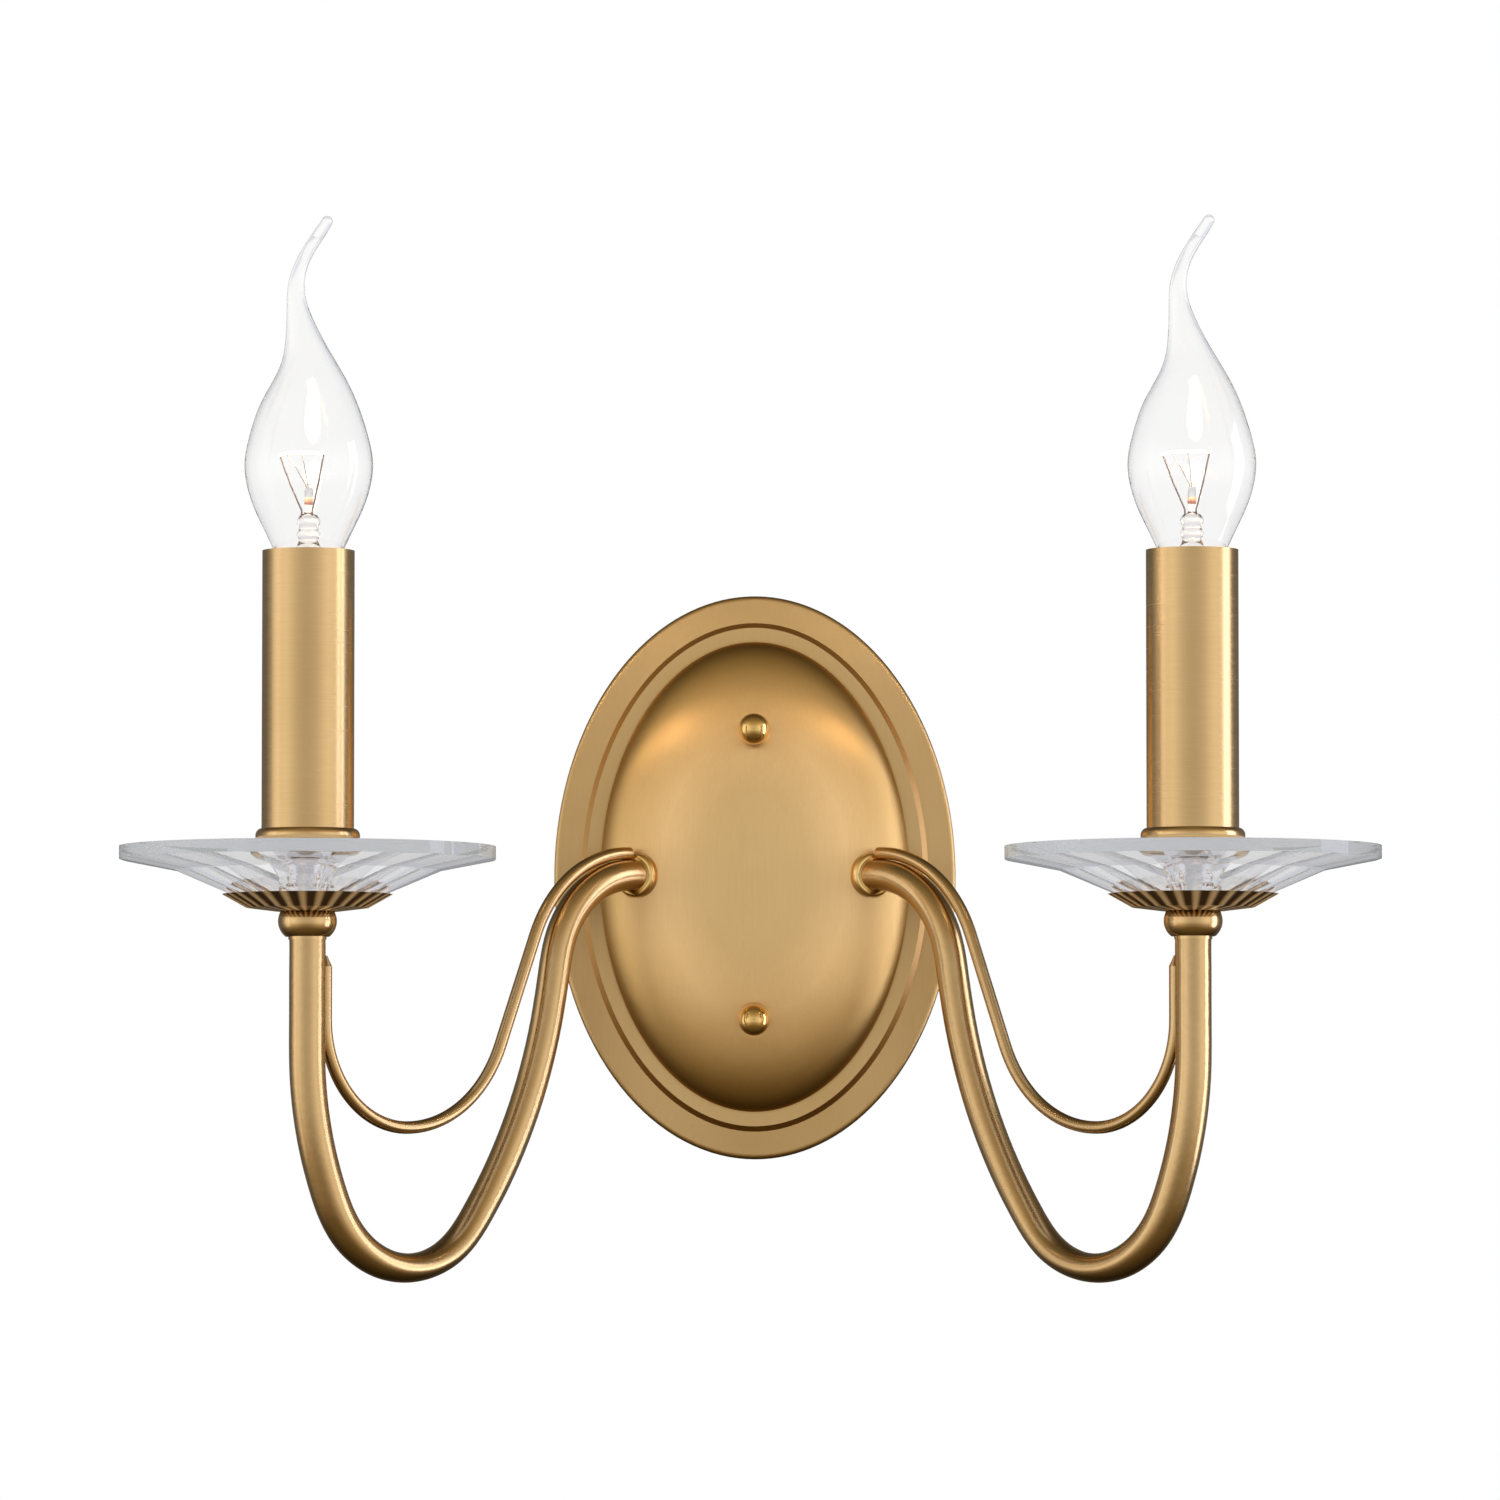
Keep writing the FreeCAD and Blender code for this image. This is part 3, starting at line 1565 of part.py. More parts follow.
def make_stem(side):
    """Glass mount inside the lamp: flared foot, pinched stem and exhaust tube."""
    body = new_body("bulb_stem_" + side)
    foot = FLAME[0][1] * dim.bulb_radius - dim.glass_wall - dim.fit
    top = glass_bottom + dim.stem_height
    revolve(
        body,
        [
            (0, glass_bottom),
            (foot, glass_bottom),
            (dim.stem_radius, glass_bottom + 0.5 * dim.stem_height, -40),
            (dim.stem_radius, top - 1.0),
            (dim.stem_radius - 1.0, top, 1.0),
            (dim.exhaust_radius, top),
            (dim.exhaust_radius, top + dim.exhaust_height),
            (0, top + dim.exhaust_height),
        ],
    )
    node("bulb_stem_" + side, at_candle(body, side))


def rod_between(start, end, radius):
    way = end - start
    return Part.makeCylinder(radius, way.Length, start, way)


def make_filament(side):
    """Two leaning wires that carry a coil bent to an arc, all one piece of wire."""
    radius = dim.wire_radius.value
    top = (glass_bottom + dim.stem_height).value
    high = top + dim.filament_rise.value
    spread = dim.filament_spread.value
    ends = [math.radians(a) for a in (180, 305)]
    foot = 0.7 * dim.stem_radius.value
    middle = math.radians(242.5)
    corners = [V(spread * math.cos(a), spread * math.sin(a), high) for a in ends]
    apex = V(spread * math.cos(middle), spread * math.sin(middle), high)
    wires = []
    for a, corner in zip(ends, corners):
        start = V(foot * math.cos(a), foot * math.sin(a), top)
        wires.append(rod_between(start, corner, radius))
    arc = Part.Wire([Part.Arc(corners[0], apex, corners[1]).toShape()])
    way = V(-math.sin(ends[0]), math.cos(ends[0]), 0)
    section = Part.Wire([Part.Circle(corners[0], way, radius).toShape()])
    coil = arc.makePipeShell([section], True, True)
    balls = [Part.makeSphere(1.2 * radius, c) for c in corners]
    item = doc.addObject("Part::Feature", "bulb_filament_" + side)
    item.Shape = wires[0].fuse([wires[1], coil] + balls)
    node("bulb_filament_" + side, at_candle(item, side))


# Insulated leads from the terminal block through each arm


def rounded(points, bend):
    """Straight runs with an arc of the given radius at each corner."""
    edges = []
    start = points[0]
    for before, corner, after in zip(points, points[1:], points[2:]):
        into = (corner - before).normalize()
        out = (after - corner).normalize()
        turn = into.getAngle(out)
        setback = bend * math.tan(turn / 2)
        first = corner - into * setback
        last = corner + out * setback
        inward = (out - into).normalize()
        middle = corner + inward * (bend / math.cos(turn / 2) - bend)
        edges.append(Part.LineSegment(start, first).toShape())
        edges.append(Part.Arc(first, middle, last).toShape())
        start = last
    edges.append(Part.LineSegment(start, points[-1]).toShape())
    return edges


def arm_edges(moves, top):
    """The middle line of the arm from a height down and round to the socket, in the arm's plane."""
    ends = walk((0.0 * reach, dim.tube_top), DOWN, moves)
    edges = []
    start = V(0, 0, top)
    for move, begin, end in zip(moves, ends, ends[1:]):
        finish = V(end[0].value, 0, end[1].value)
        if len(move) > 1:
            half = walk(begin[:2], begin[2], [(move[0], move[1] * 0.5)])[-1]
            middle = V(half[0].value, 0, half[1].value)
            edges.append(Part.Arc(start, middle, finish).toShape())
        else:
            edges.append(Part.LineSegment(start, finish).toShape())
        start = finish
    return edges


def lead_pipe(edges, start, way):
    wire = Part.Wire(Part.__sortEdges__(edges))
    section = Part.Wire([Part.Circle(start, way, dim.lead_radius.value).toShape()])
    return wire.makePipeShell([section], True, False)


def make_leads(side, moves):
    """Live and neutral leads of one arm: from the holder, round the arm, to two ways of the block."""
    sign = SIDES[side]
    turned = FreeCAD.Rotation(UP, 180 - arm_angle.value if side == "right" else arm_angle.value)
    stand = FreeCAD.Placement(V(sign * half_spread.value, -dim.projection.value, 0), turned)
    bend = dim.lead_bend.value
    top = contact_bottom.value
    short = moves[:-1] + [(moves[-1][0] * 0.3,)]
    tilt = math.radians(ferrule_tilt.value)
    inward = V(-sign * math.sin(tilt), math.cos(tilt), 0)
    socket = V(sign * socket_x.value, -socket_out.value, 0)
    inside = (dim.ferrule_floor + dim.spigot_length).value
    entry = V(sign * dim.block_width.value / 2, -block_middle.value, 0)
    outward = V(sign, 0, 0)
    shapes = []
    for lane in (-1, 1):
        aside = V(0, lane * dim.lead_spacing.value / 2, 0)
        lane_stand = stand.multiply(FreeCAD.Placement(aside, FreeCAD.Rotation()))
        edges = [edge.transformed(lane_stand.toMatrix()) for edge in arm_edges(short, top)]
        shift = turned.multVec(aside)
        mouth = entry + V(0, 0, lane * dim.block_pitch.value)
        route = [
            edges[-1].Vertexes[-1].Point,
            socket + shift,
            socket + inward * (inside + bend) + shift,
            mouth + outward * 2 * bend,
            mouth - outward * dim.lead_grip.value,
        ]
        edges += rounded(route, bend)
        shapes.append(lead_pipe(edges, lane_stand.multVec(V(0, 0, top)), UP))
    item = doc.addObject("Part::Feature", "lead_wires_" + side)
    item.Shape = Part.makeCompound(shapes)
    node("lead_wires_" + side, item)


def make_earth_lead():
    """Earth lead from the block's middle way to an eye under the earth screw."""
    deep = -block_middle.value
    wall = -dim.bracket_sheet.value
    edge = dim.block_width.value / 2
    radius = dim.lead_radius.value
    lane = -(dim.bracket_width / 2 - dim.bracket_sheet).value + 1.4 * radius
    low = wall - 1.6 * radius
    rise = dim.earth_screw_rise.value
    eye = dim.eye_radius.value
    route = [
        V(dim.lead_grip.value - edge, deep, 0),
        V(lane, deep, 0),
        V(lane, low, -deep * 0.7),
        V(lane, low, 0.7 * rise),
        V(lane + radius, wall - 1.05 * radius, rise),
        V(0.7 - eye, wall - 1.05 * radius, rise),
    ]
    lead = lead_pipe(rounded(route, 0.5 * dim.lead_bend.value), route[0], V(1, 0, 0))
    centre = V(0, wall, rise)
    ring = Part.makeCylinder(eye, dim.eye_sheet.value, centre, V(0, -1, 0))
    hole = (dim.earth_screw_radius + dim.fit).value
    ring = ring.cut(Part.makeCylinder(hole, dim.bracket_sheet.value, centre, V(0, -1, 0)))
    item = doc.addObject("Part::Feature", "earth_lead")
    item.Shape = lead.fuse(ring)
    node("earth_lead", item)


def finish():
    doc.recompute()
    faults = []
    for item in doc.Objects:
        if "Invalid" in item.State or "Error" in item.State:
            faults.append("%s: %s" % (item.Label, ", ".join(item.State)))
    for name, item in nodes.items():
        shape = item.Shape
        if shape.isNull() or not shape.isValid() or not shape.Solids:
            faults.append(name + ": no sound solid")
    if faults:
        raise SystemExit("\n".join(faults))
    os.makedirs("parts", exist_ok=True)
    for name, item in nodes.items():
        item.Shape.exportStep("parts/%s.step" % name)
        print("%-24s %2d solids %9.1f mm3" % (name, len(item.Shape.Solids), item.Shape.Volume))


make_backplate()
make_bracket()
make_studs()
make_stud_locknuts()
make_ball_nuts()
make_terminal_block()
make_screws()
make_earth_lead()
make_ferrule_nuts()
make_dish_washers()
make_nipple_nuts()
arm = arm_moves()
for name in SIDES:
    make_ferrule(name)
    make_arm(name, arm)
    make_rod(name)
    make_collar(name)
    make_cup(name)
    make_dish(name)
    make_spindle(name)
    make_pan(name)
    make_nipple(name)
    make_sleeve(name)
    make_leg(name)
    make_holder(name)
    make_lamp_base(name)
    make_glass(name)
    make_stem(name)
    make_filament(name)
    make_leads(name, arm)
finish()
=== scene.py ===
import json
import math

import bmesh
import bpy
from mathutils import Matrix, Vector


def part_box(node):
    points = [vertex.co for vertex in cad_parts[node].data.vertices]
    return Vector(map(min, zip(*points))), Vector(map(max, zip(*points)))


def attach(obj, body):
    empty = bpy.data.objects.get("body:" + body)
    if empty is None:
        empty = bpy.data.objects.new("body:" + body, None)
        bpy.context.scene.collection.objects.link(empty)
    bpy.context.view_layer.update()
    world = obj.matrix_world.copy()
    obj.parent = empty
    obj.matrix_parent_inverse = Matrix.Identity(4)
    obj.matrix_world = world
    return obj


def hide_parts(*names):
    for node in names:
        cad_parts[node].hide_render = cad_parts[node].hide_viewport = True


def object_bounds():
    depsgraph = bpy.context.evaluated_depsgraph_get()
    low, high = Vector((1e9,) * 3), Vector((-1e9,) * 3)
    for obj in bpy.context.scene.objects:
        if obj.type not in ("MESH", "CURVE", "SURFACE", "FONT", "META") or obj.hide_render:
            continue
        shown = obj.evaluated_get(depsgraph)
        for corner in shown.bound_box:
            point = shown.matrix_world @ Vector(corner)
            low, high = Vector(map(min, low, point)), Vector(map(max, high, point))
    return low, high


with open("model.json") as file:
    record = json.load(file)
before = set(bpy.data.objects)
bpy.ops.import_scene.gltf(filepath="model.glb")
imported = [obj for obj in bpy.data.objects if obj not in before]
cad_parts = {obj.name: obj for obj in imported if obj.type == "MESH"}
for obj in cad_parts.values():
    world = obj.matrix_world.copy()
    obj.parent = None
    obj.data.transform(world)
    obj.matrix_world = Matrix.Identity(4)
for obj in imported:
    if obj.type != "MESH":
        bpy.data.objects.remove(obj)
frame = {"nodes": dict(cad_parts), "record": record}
CAD_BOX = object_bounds()
SIDES = ("left", "right")
PLATE = "backplate"
SLOTS = {part["node"]: part["material_slot"] for part in frame["record"]["subparts"]}
UP = Vector((0.0, 0.0, 1.0))

# All lengths are in metres, but for the camera's lens and sensor, which are in millimetres.
# The candles' axes stand here, one on each side
CANDLE_SIDE = 0.1205
CANDLE_PLANE = -0.1045

# Camera and floor
CAMERA_DISTANCE = 2.3
CAMERA_SIDE = 0.032
CAMERA_HEIGHT = -0.0985
AIM_HEIGHT = 0.0306
LENS = 203.0
SENSOR = 36.0
FLOOR_DROP = 0.16
FLOOR_RADIUS = 1.2
FLOOR_GLOW = 0.35

# Lit filament
GLOW_WATTS = 0.06
GLOW_RADIUS = 0.004
GLOW_COLOUR = (1.0, 0.72, 0.42)

# Glass: light mirrored inside cut glass more often than this ends as an even painted glow in the
# room's pale colour, and the dish's edge is ground to this share. The gap is the air that lets the
# spindle's ends mirror
MIRRORINGS = 1.5
GLASS_PAINTED_GLOW = (0.75, 0.76, 0.82, 1.0)
GROUND_SHARE = 0.45
GROUND_GLASS = (0.35, 0.38, 0.32, 1.0)
GLASS_GAP = 0.00008
GLASS_SHADOW = (0.96, 0.96, 0.96, 1.0)

# Dish, from its bottom and its axis
DISH_FACETS = 16
DISH_POINTS_PER_FACET = 12
DISH_HOLE = 0.0050
DISH_BASE_RADIUS = 0.0160
DISH_BREAK_RADIUS = 0.0360
DISH_BREAK_RISE = 0.00875
DISH_RIM_RISE = 0.0120
DISH_LAND = 0.0014
DISH_SHOULDER_RADIUS = 0.0320
DISH_FLOOR = 0.0042
DISH_EDGE_RADIUS = 0.0510
FACET_ANGLE = 3.0

# Spindle: each ring of lobes starts and ends at a share of the height, with its radius and its lobes
SPINDLE_BORE = 0.0044
SPINDLE_WAIST = 0.0058
SPINDLE_THROAT = 0.0064
SPINDLE_RINGS = ((0.0, 0.28, 0.0073, 8), (0.28, 0.50, 0.0068, 12))
FLARE_FROM = 0.50
FLARE_LOBES = 12
FLARE_CUT = 0.07

# Cup, plate and the ribbed ring under the cup
CUP_FLUTES = 28
DOME_HALF_WIDTH = 0.0438
DOME_HALF_HEIGHT = 0.0668
NECK_HEIGHT = 0.0022
NECK_RADIUS = 0.0072
NECK_BORE = 0.0060
NECK_RIB = 0.0005
NECK_RIBS = 22

# Lamp cap, holder and nipple. The thread ends and the skirt starts at shares of the cap's height
CAP_PITCH = 0.002822
CAP_DEPTH = 0.0005
CAP_SHEET = 0.0003
CAP_LEAD_IN = 0.0004
CAP_THREAD_END = 0.65
CAP_SKIRT_START = 0.68
CAP_SKIRT_INSET = 0.0001
SHELL_SHEET = 0.0002
SHELL_PLAY = 0.0004
NIPPLE_PITCH = 0.001
NIPPLE_DEPTH = 0.00045
NIPPLE_BORE = 0.00275

# Glass stem and filament, with the filament's two ends in degrees round the lamp
STEM_RADIUS = 0.0032
STEM_BEAD = 0.0036
STEM_BEAD_DEPTH = 0.00035
STEM_STEPS = 24
EXHAUST_RADIUS = 0.0011
BAND_RADIUS = 0.00122
BAND_BORE = 0.00112
BAND_HEIGHT = 0.0018
BAND_DROP = 0.0055
FILAMENT_FROM = 180.0
FILAMENT_TO = 305.0
FILAMENT_REACH = 0.0079
SUPPORT_WIRE = 0.00022
HOOK_WIRE = 0.00009
COIL_WIRE = 0.00008
COIL_RADIUS = 0.0003
COIL_TURNS = 70
POINTS_PER_TURN = 10


def slot_of(node):
    return SLOTS[node]


def middle_of(node):
    low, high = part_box(node)
    return (low + high) / 2, low, high


def upright(node):
    """The middle of an upright round node's lower end, its radius and its height."""
    middle, low, high = middle_of(node)
    return Vector((middle.x, middle.y, low.z)), (high.x - low.x) / 2, high.z - low.z


# Materials


def linear(red, green, blue):
    """A colour given as it looks on screen, 0 to 255, in the renderer's linear values."""
    values = []
    for level in (red, green, blue):
        share = level / 255
        values.append(share / 12.92 if share <= 0.04045 else ((share + 0.055) / 1.055) ** 2.4)
    return (*values, 1.0)


class Nodes:
    """A material's node tree with short calls to add and join nodes."""

    def __init__(self, name):
        self.material = bpy.data.materials.new(name)
        self.material.use_nodes = True
        self.tree = self.material.node_tree
        self.shader = self.tree.nodes["Principled BSDF"]

    def add(self, kind, **values):
        item = self.tree.nodes.new("ShaderNode" + kind)
        for key, value in values.items():
            setattr(item, key, value)
        return item

    def join(self, source, target):
        self.tree.links.new(source, target)

    def set(self, **values):
        for key, value in values.items():
            self.shader.inputs[key.replace("_", " ")].default_value = value

    def places(self, stretch=(1.0, 1.0, 1.0)):
        """Object coordinates, stretched along an axis where its number is small."""
        where = self.add("TexCoord")
        scaled = self.add("Mapping")
        scaled.inputs["Scale"].default_value = stretch
        self.join(where.outputs["Object"], scaled.inputs["Vector"])
        return scaled.outputs["Vector"]

    def noise(self, scale, stretch=(1.0, 1.0, 1.0), detail=4.0, rough=0.55):
        item = self.add("TexNoise")
        item.inputs["Scale"].default_value = scale
        item.inputs["Detail"].default_value = detail
        item.inputs["Roughness"].default_value = rough
        self.join(self.places(stretch), item.inputs["Vector"])
        return item.outputs["Fac"]

    def ramp(self, source, stops):
        item = self.add("ValToRGB")
        points = item.color_ramp.elements
        while len(points) < len(stops):
            points.new(0.5)
        for point, (place, colour) in zip(points, stops):
            point.position = place
            point.color = colour
        self.join(source, item.inputs["Fac"])
        return item.outputs["Color"]

    def span(self, source, low, high, start=0.3, end=0.7):
        item = self.add("MapRange")
        for key, value in zip(("From Min", "From Max", "To Min", "To Max"), (start, end, low, high)):
            item.inputs[key].default_value = value
        self.join(source, item.inputs["Value"])
        return item.outputs["Result"]

    def math(self, operation, first, second=None, third=None):
        """One step of arithmetic on numbers or sockets."""
        item = self.add("Math", operation=operation)
        for value, socket in zip((first, second, third), item.inputs):
            if isinstance(value, (int, float)):
                socket.default_value = value
            elif value:
                self.join(value, socket)
        return item.outputs[0]

    def candle_place(self):
        """Sideways and forward distance from the nearer candle's axis."""
        split = self.add("SeparateXYZ")
        self.join(self.places(), split.inputs[0])
        width = self.math("ABSOLUTE", split.outputs["X"])
        side = self.math("SUBTRACT", width, CANDLE_SIDE)
        depth = self.math("SUBTRACT", split.outputs["Y"], CANDLE_PLANE)
        return side, depth

    def length(self, first, second):
        """Length of a line from its two parts at right angles."""
        square = self.math("ADD", self.math("MULTIPLY", first, first), self.math("MULTIPLY", second, second))
        return self.math("SQRT", square)

    def round_candle(self, count):
        """A wave with so many crests round the nearer candle's axis, 0 to 1, highest at angle 0."""
        side, depth = self.candle_place()
        turn = self.math("MULTIPLY", self.math("ARCTAN2", depth, side), count)
        return self.math("MULTIPLY_ADD", self.math("COSINE", turn), 0.5, 0.5)

    def times(self, first, second):
        """Two colours multiplied."""
        item = self.add("MixRGB", blend_type="MULTIPLY")
        item.inputs["Fac"].default_value = 1.0
        self.join(first, item.inputs["Color1"])
        self.join(second, item.inputs["Color2"])
        return item.outputs["Color"]

    def mixed(self, share, first, second):
        """The first shader where the share is 0 and the second where it is 1."""
        item = self.add("MixShader")
        self.join(share, item.inputs[0])
        self.join(first.outputs[0], item.inputs[1])
        self.join(second.outputs[0], item.inputs[2])
        return item

    def bump(self, sources):
        """Chained bumps from (height source, strength, distance in metres)."""
        before = None
        for source, strength, distance in sources:
            item = self.add("Bump")
            item.inputs["Strength"].default_value = strength
            item.inputs["Distance"].default_value = distance
            self.join(source, item.inputs["Height"])
            if before:
                self.join(before, item.inputs["Normal"])
            before = item.outputs["Normal"]
        self.join(before, self.shader.inputs["Normal"])

    def colour(self, source):
        self.join(source, self.shader.inputs["Base Color"])

    def roughness(self, source):
        self.join(source, self.shader.inputs["Roughness"])


def fluted_patina_and_painted_light(made):
    """Dark valleys, from antique patina and painted shade, and ridges lightened by painted highlights, round
    a candle's axis.
    """
    return made.ramp(made.round_candle(CUP_FLUTES), CUP_PATINA_AND_PAINTED_LIGHT)


def dome_painted_light(made):
    """Painted shade, darkest in the corner round the plate's dome, and painted highlights, lightest on its
    shoulders.
    """
    split = made.add("SeparateXYZ")
    made.join(made.places(), split.inputs[0])
    wide = made.math("DIVIDE", split.outputs["X"], DOME_HALF_WIDTH)
    above = made.math("SUBTRACT", split.outputs["Z"], middle_of(PLATE)[0].z)
    tall = made.math("DIVIDE", above, DOME_HALF_HEIGHT)
    share = made.math("DIVIDE", made.length(wide, tall), DOME_REACH)
    return made.ramp(share, [(place / DOME_REACH, (*level, 1.0)) for place, level in DOME_PAINTED_LIGHT])


def brushed_brass(
    name, tones, stretch, rough, lines, grain=4200.0, spread=None, patina_and_painted_light=None, metallic=1.0
):
    """Satin brass: hair-fine lines along one axis over slow changes of tone. The lines blur what is
    mirrored most along spread. The optional last function multiplies the tone by a share: it holds
    real patina as well as painted shade and painted highlights."""
    made = Nodes(name)
    made.set(Metallic=metallic)
    if spread:
        made.set(Anisotropic=SPREAD_SHARE)
        across = made.add("CombineXYZ")
        for value, socket in zip(spread, across.inputs):
            socket.default_value = value
        made.join(across.outputs[0], made.shader.inputs["Tangent"])
    fine = made.noise(grain, stretch, detail=2.0)
    broad = made.noise(0.26 * grain, stretch, detail=2.0)
    cloud = made.noise(16.0, detail=3.0)
    dark, middle, light = tones
    base = made.ramp(cloud, [(0.25, dark), (0.50, middle), (0.75, light)])
    fine_tone = made.ramp(fine, [(0.30, (0.955, 0.95, 0.94, 1)), (0.70, (1.0, 1.0, 1.0, 1))])
    broad_tone = made.ramp(broad, [(0.30, (0.985, 0.98, 0.975, 1)), (0.70, (1.0, 1.0, 1.0, 1))])
    tone = made.times(made.times(base, fine_tone), broad_tone)
    # Patina, painted shade and painted highlights multiply the tone here.
    if patina_and_painted_light:
        tone = made.times(tone, patina_and_painted_light(made))
    made.colour(tone)
    made.roughness(made.span(broad, *rough))
    made.bump([(fine, lines, 0.000004), (cloud, 0.02, 0.0001)])
    return made.material


def polished_brass(name):
    made = Nodes(name)
    made.set(Metallic=1.0)
    smear = made.noise(60.0, detail=6.0)
    tones = [(0.35, linear(226, 186, 112)), (0.65, linear(250, 216, 150))]
    made.colour(made.ramp(smear, tones))
    made.roughness(made.span(smear, 0.07, 0.15))
    made.bump([(smear, 0.04, 0.0001)])
    return made.material


def plated(name, light, dark, rough=(0.22, 0.4), metallic=1.0):
    made = Nodes(name)
    made.set(Metallic=metallic)
    spangle = made.add("TexVoronoi")
    spangle.inputs["Scale"].default_value = 420.0
    made.join(made.places(), spangle.inputs["Vector"])
    made.colour(made.ramp(spangle.outputs["Distance"], [(0.1, dark), (0.9, light)]))
    cloud = made.noise(90.0)
    made.roughness(made.span(cloud, *rough))
    made.bump([(cloud, 0.08, 0.0001)])
    return made.material


def moulded(name, light, dark, rough=(0.35, 0.55)):
    made = Nodes(name)
    grain = made.noise(1500.0, detail=2.0)
    cloud = made.noise(40.0)
    made.colour(made.ramp(cloud, [(0.3, dark), (0.7, light)]))
    made.roughness(made.span(grain, *rough))
    made.bump([(grain, 0.15, 0.00003)])
    return made.material


def over(made, source, limit):
    """1 where the number is above the limit."""
    return made.math("GREATER_THAN", source, limit)


def one_colour(made, kind, colour):
    """A plain shader, such as Translucent or Emission, in one colour."""
    item = made.add(kind)
    item.inputs["Color"].default_value = colour
    return item


def clear_glass(name, tint, ior, ripple, rough=(0.0, 0.015), passes=None, edge_radius=None):
    """Clear glass with faint ripples. With passes, light that has met so many faces, or was mirrored
    inside, ends as an even painted glow in the room's pale colour. Beyond edge_radius from a candle's
    axis the surface is ground, like a cut edge."""
    made = Nodes(name)
    made.set(Transmission_Weight=1.0, IOR=ior)
    wave = made.noise(45.0, detail=2.0)
    made.colour(made.ramp(wave, [(0.3, tint), (0.7, (0.99, 0.99, 0.99, 1.0))]))
    made.roughness(made.span(wave, *rough))
    made.bump([(wave, ripple, 0.0004)])
    path = made.add("LightPath")
    seen = made.shader
    if passes:
        passed = over(made, path.outputs["Ray Depth"], passes)
        mirrored = over(made, path.outputs["Glossy Depth"], MIRRORINGS)
        late = made.math("MAXIMUM", passed, mirrored)
        # Painted glow: late rays in the glass end as an even emission in the room's pale colour.
        seen = made.mixed(late, seen, one_colour(made, "Emission", GLASS_PAINTED_GLOW))
    if edge_radius:
        beyond = over(made, made.length(*made.candle_place()), edge_radius)
        share = made.math("MULTIPLY", beyond, GROUND_SHARE)
        seen = made.mixed(share, seen, one_colour(made, "BsdfTranslucent", GROUND_GLASS))
    shadow = one_colour(made, "BsdfTransparent", GLASS_SHADOW)
    either = made.mixed(path.outputs["Is Shadow Ray"], seen, shadow)
    made.join(either.outputs[0], made.tree.nodes["Material Output"].inputs["Surface"])
    return made.material


def glowing(name, colour, strength):
    made = Nodes(name)
    made.set(Emission_Color=colour, Emission_Strength=strength, Metallic=1.0, Roughness=0.4)
    coil = made.noise(2200.0, detail=1.0)
    made.colour(made.ramp(coil, [(0.3, linear(255, 196, 110)), (0.7, linear(255, 226, 160))]))
    return made.material


def antique_tones(share=1.0):
    """Dark, middle and light brass, all scaled together."""
    tones = ((0.64, 0.425, 0.190), (0.70, 0.475, 0.225), (0.74, 0.510, 0.250))
    return [tuple(share * level for level in tone) + (1.0,) for tone in tones]


# Share of tone on the cup by the place between a flute's valley at 0 and its ridge at 1: antique patina and
# painted shade darken the valleys, painted highlights light the ridges
CUP_PATINA_AND_PAINTED_LIGHT = [
    (0.30, (0.10, 0.07, 0.04, 1.0)),
    (0.70, (0.62, 0.55, 0.45, 1.0)),
    (0.95, (1.0, 1.0, 1.0, 1.0)),
]
# Painted shade and painted highlights on the plate, as a share of tone by the distance from the plate's
# middle. The dome's edge is at 1
DOME_REACH = 1.25
DOME_PAINTED_LIGHT = [
    (0.00, (0.80, 0.80, 0.74)),
    (0.35, (0.84, 0.84, 0.79)),
    (0.60, (1.00, 1.00, 1.00)),
    (0.76, (0.90, 0.89, 0.84)),
    (0.90, (0.68, 0.65, 0.54)),
    (0.985, (0.46, 0.42, 0.30)),
    (1.01, (0.66, 0.65, 0.60)),
    (1.10, (0.68, 0.67, 0.63)),
]
# Which way the brushed lines run, as a small number on the axes they follow
UPRIGHT = (1.0, 1.0, 0.012)
LEVEL = (0.03, 0.03, 1.0)
EVEN = (1.0, 1.0, 1.0)
# The direction in which the plate's lines blur what it mirrors, and how strongly
SIDEWAYS = (1.0, 0.0, 0.0)
SPREAD_SHARE = 0.75

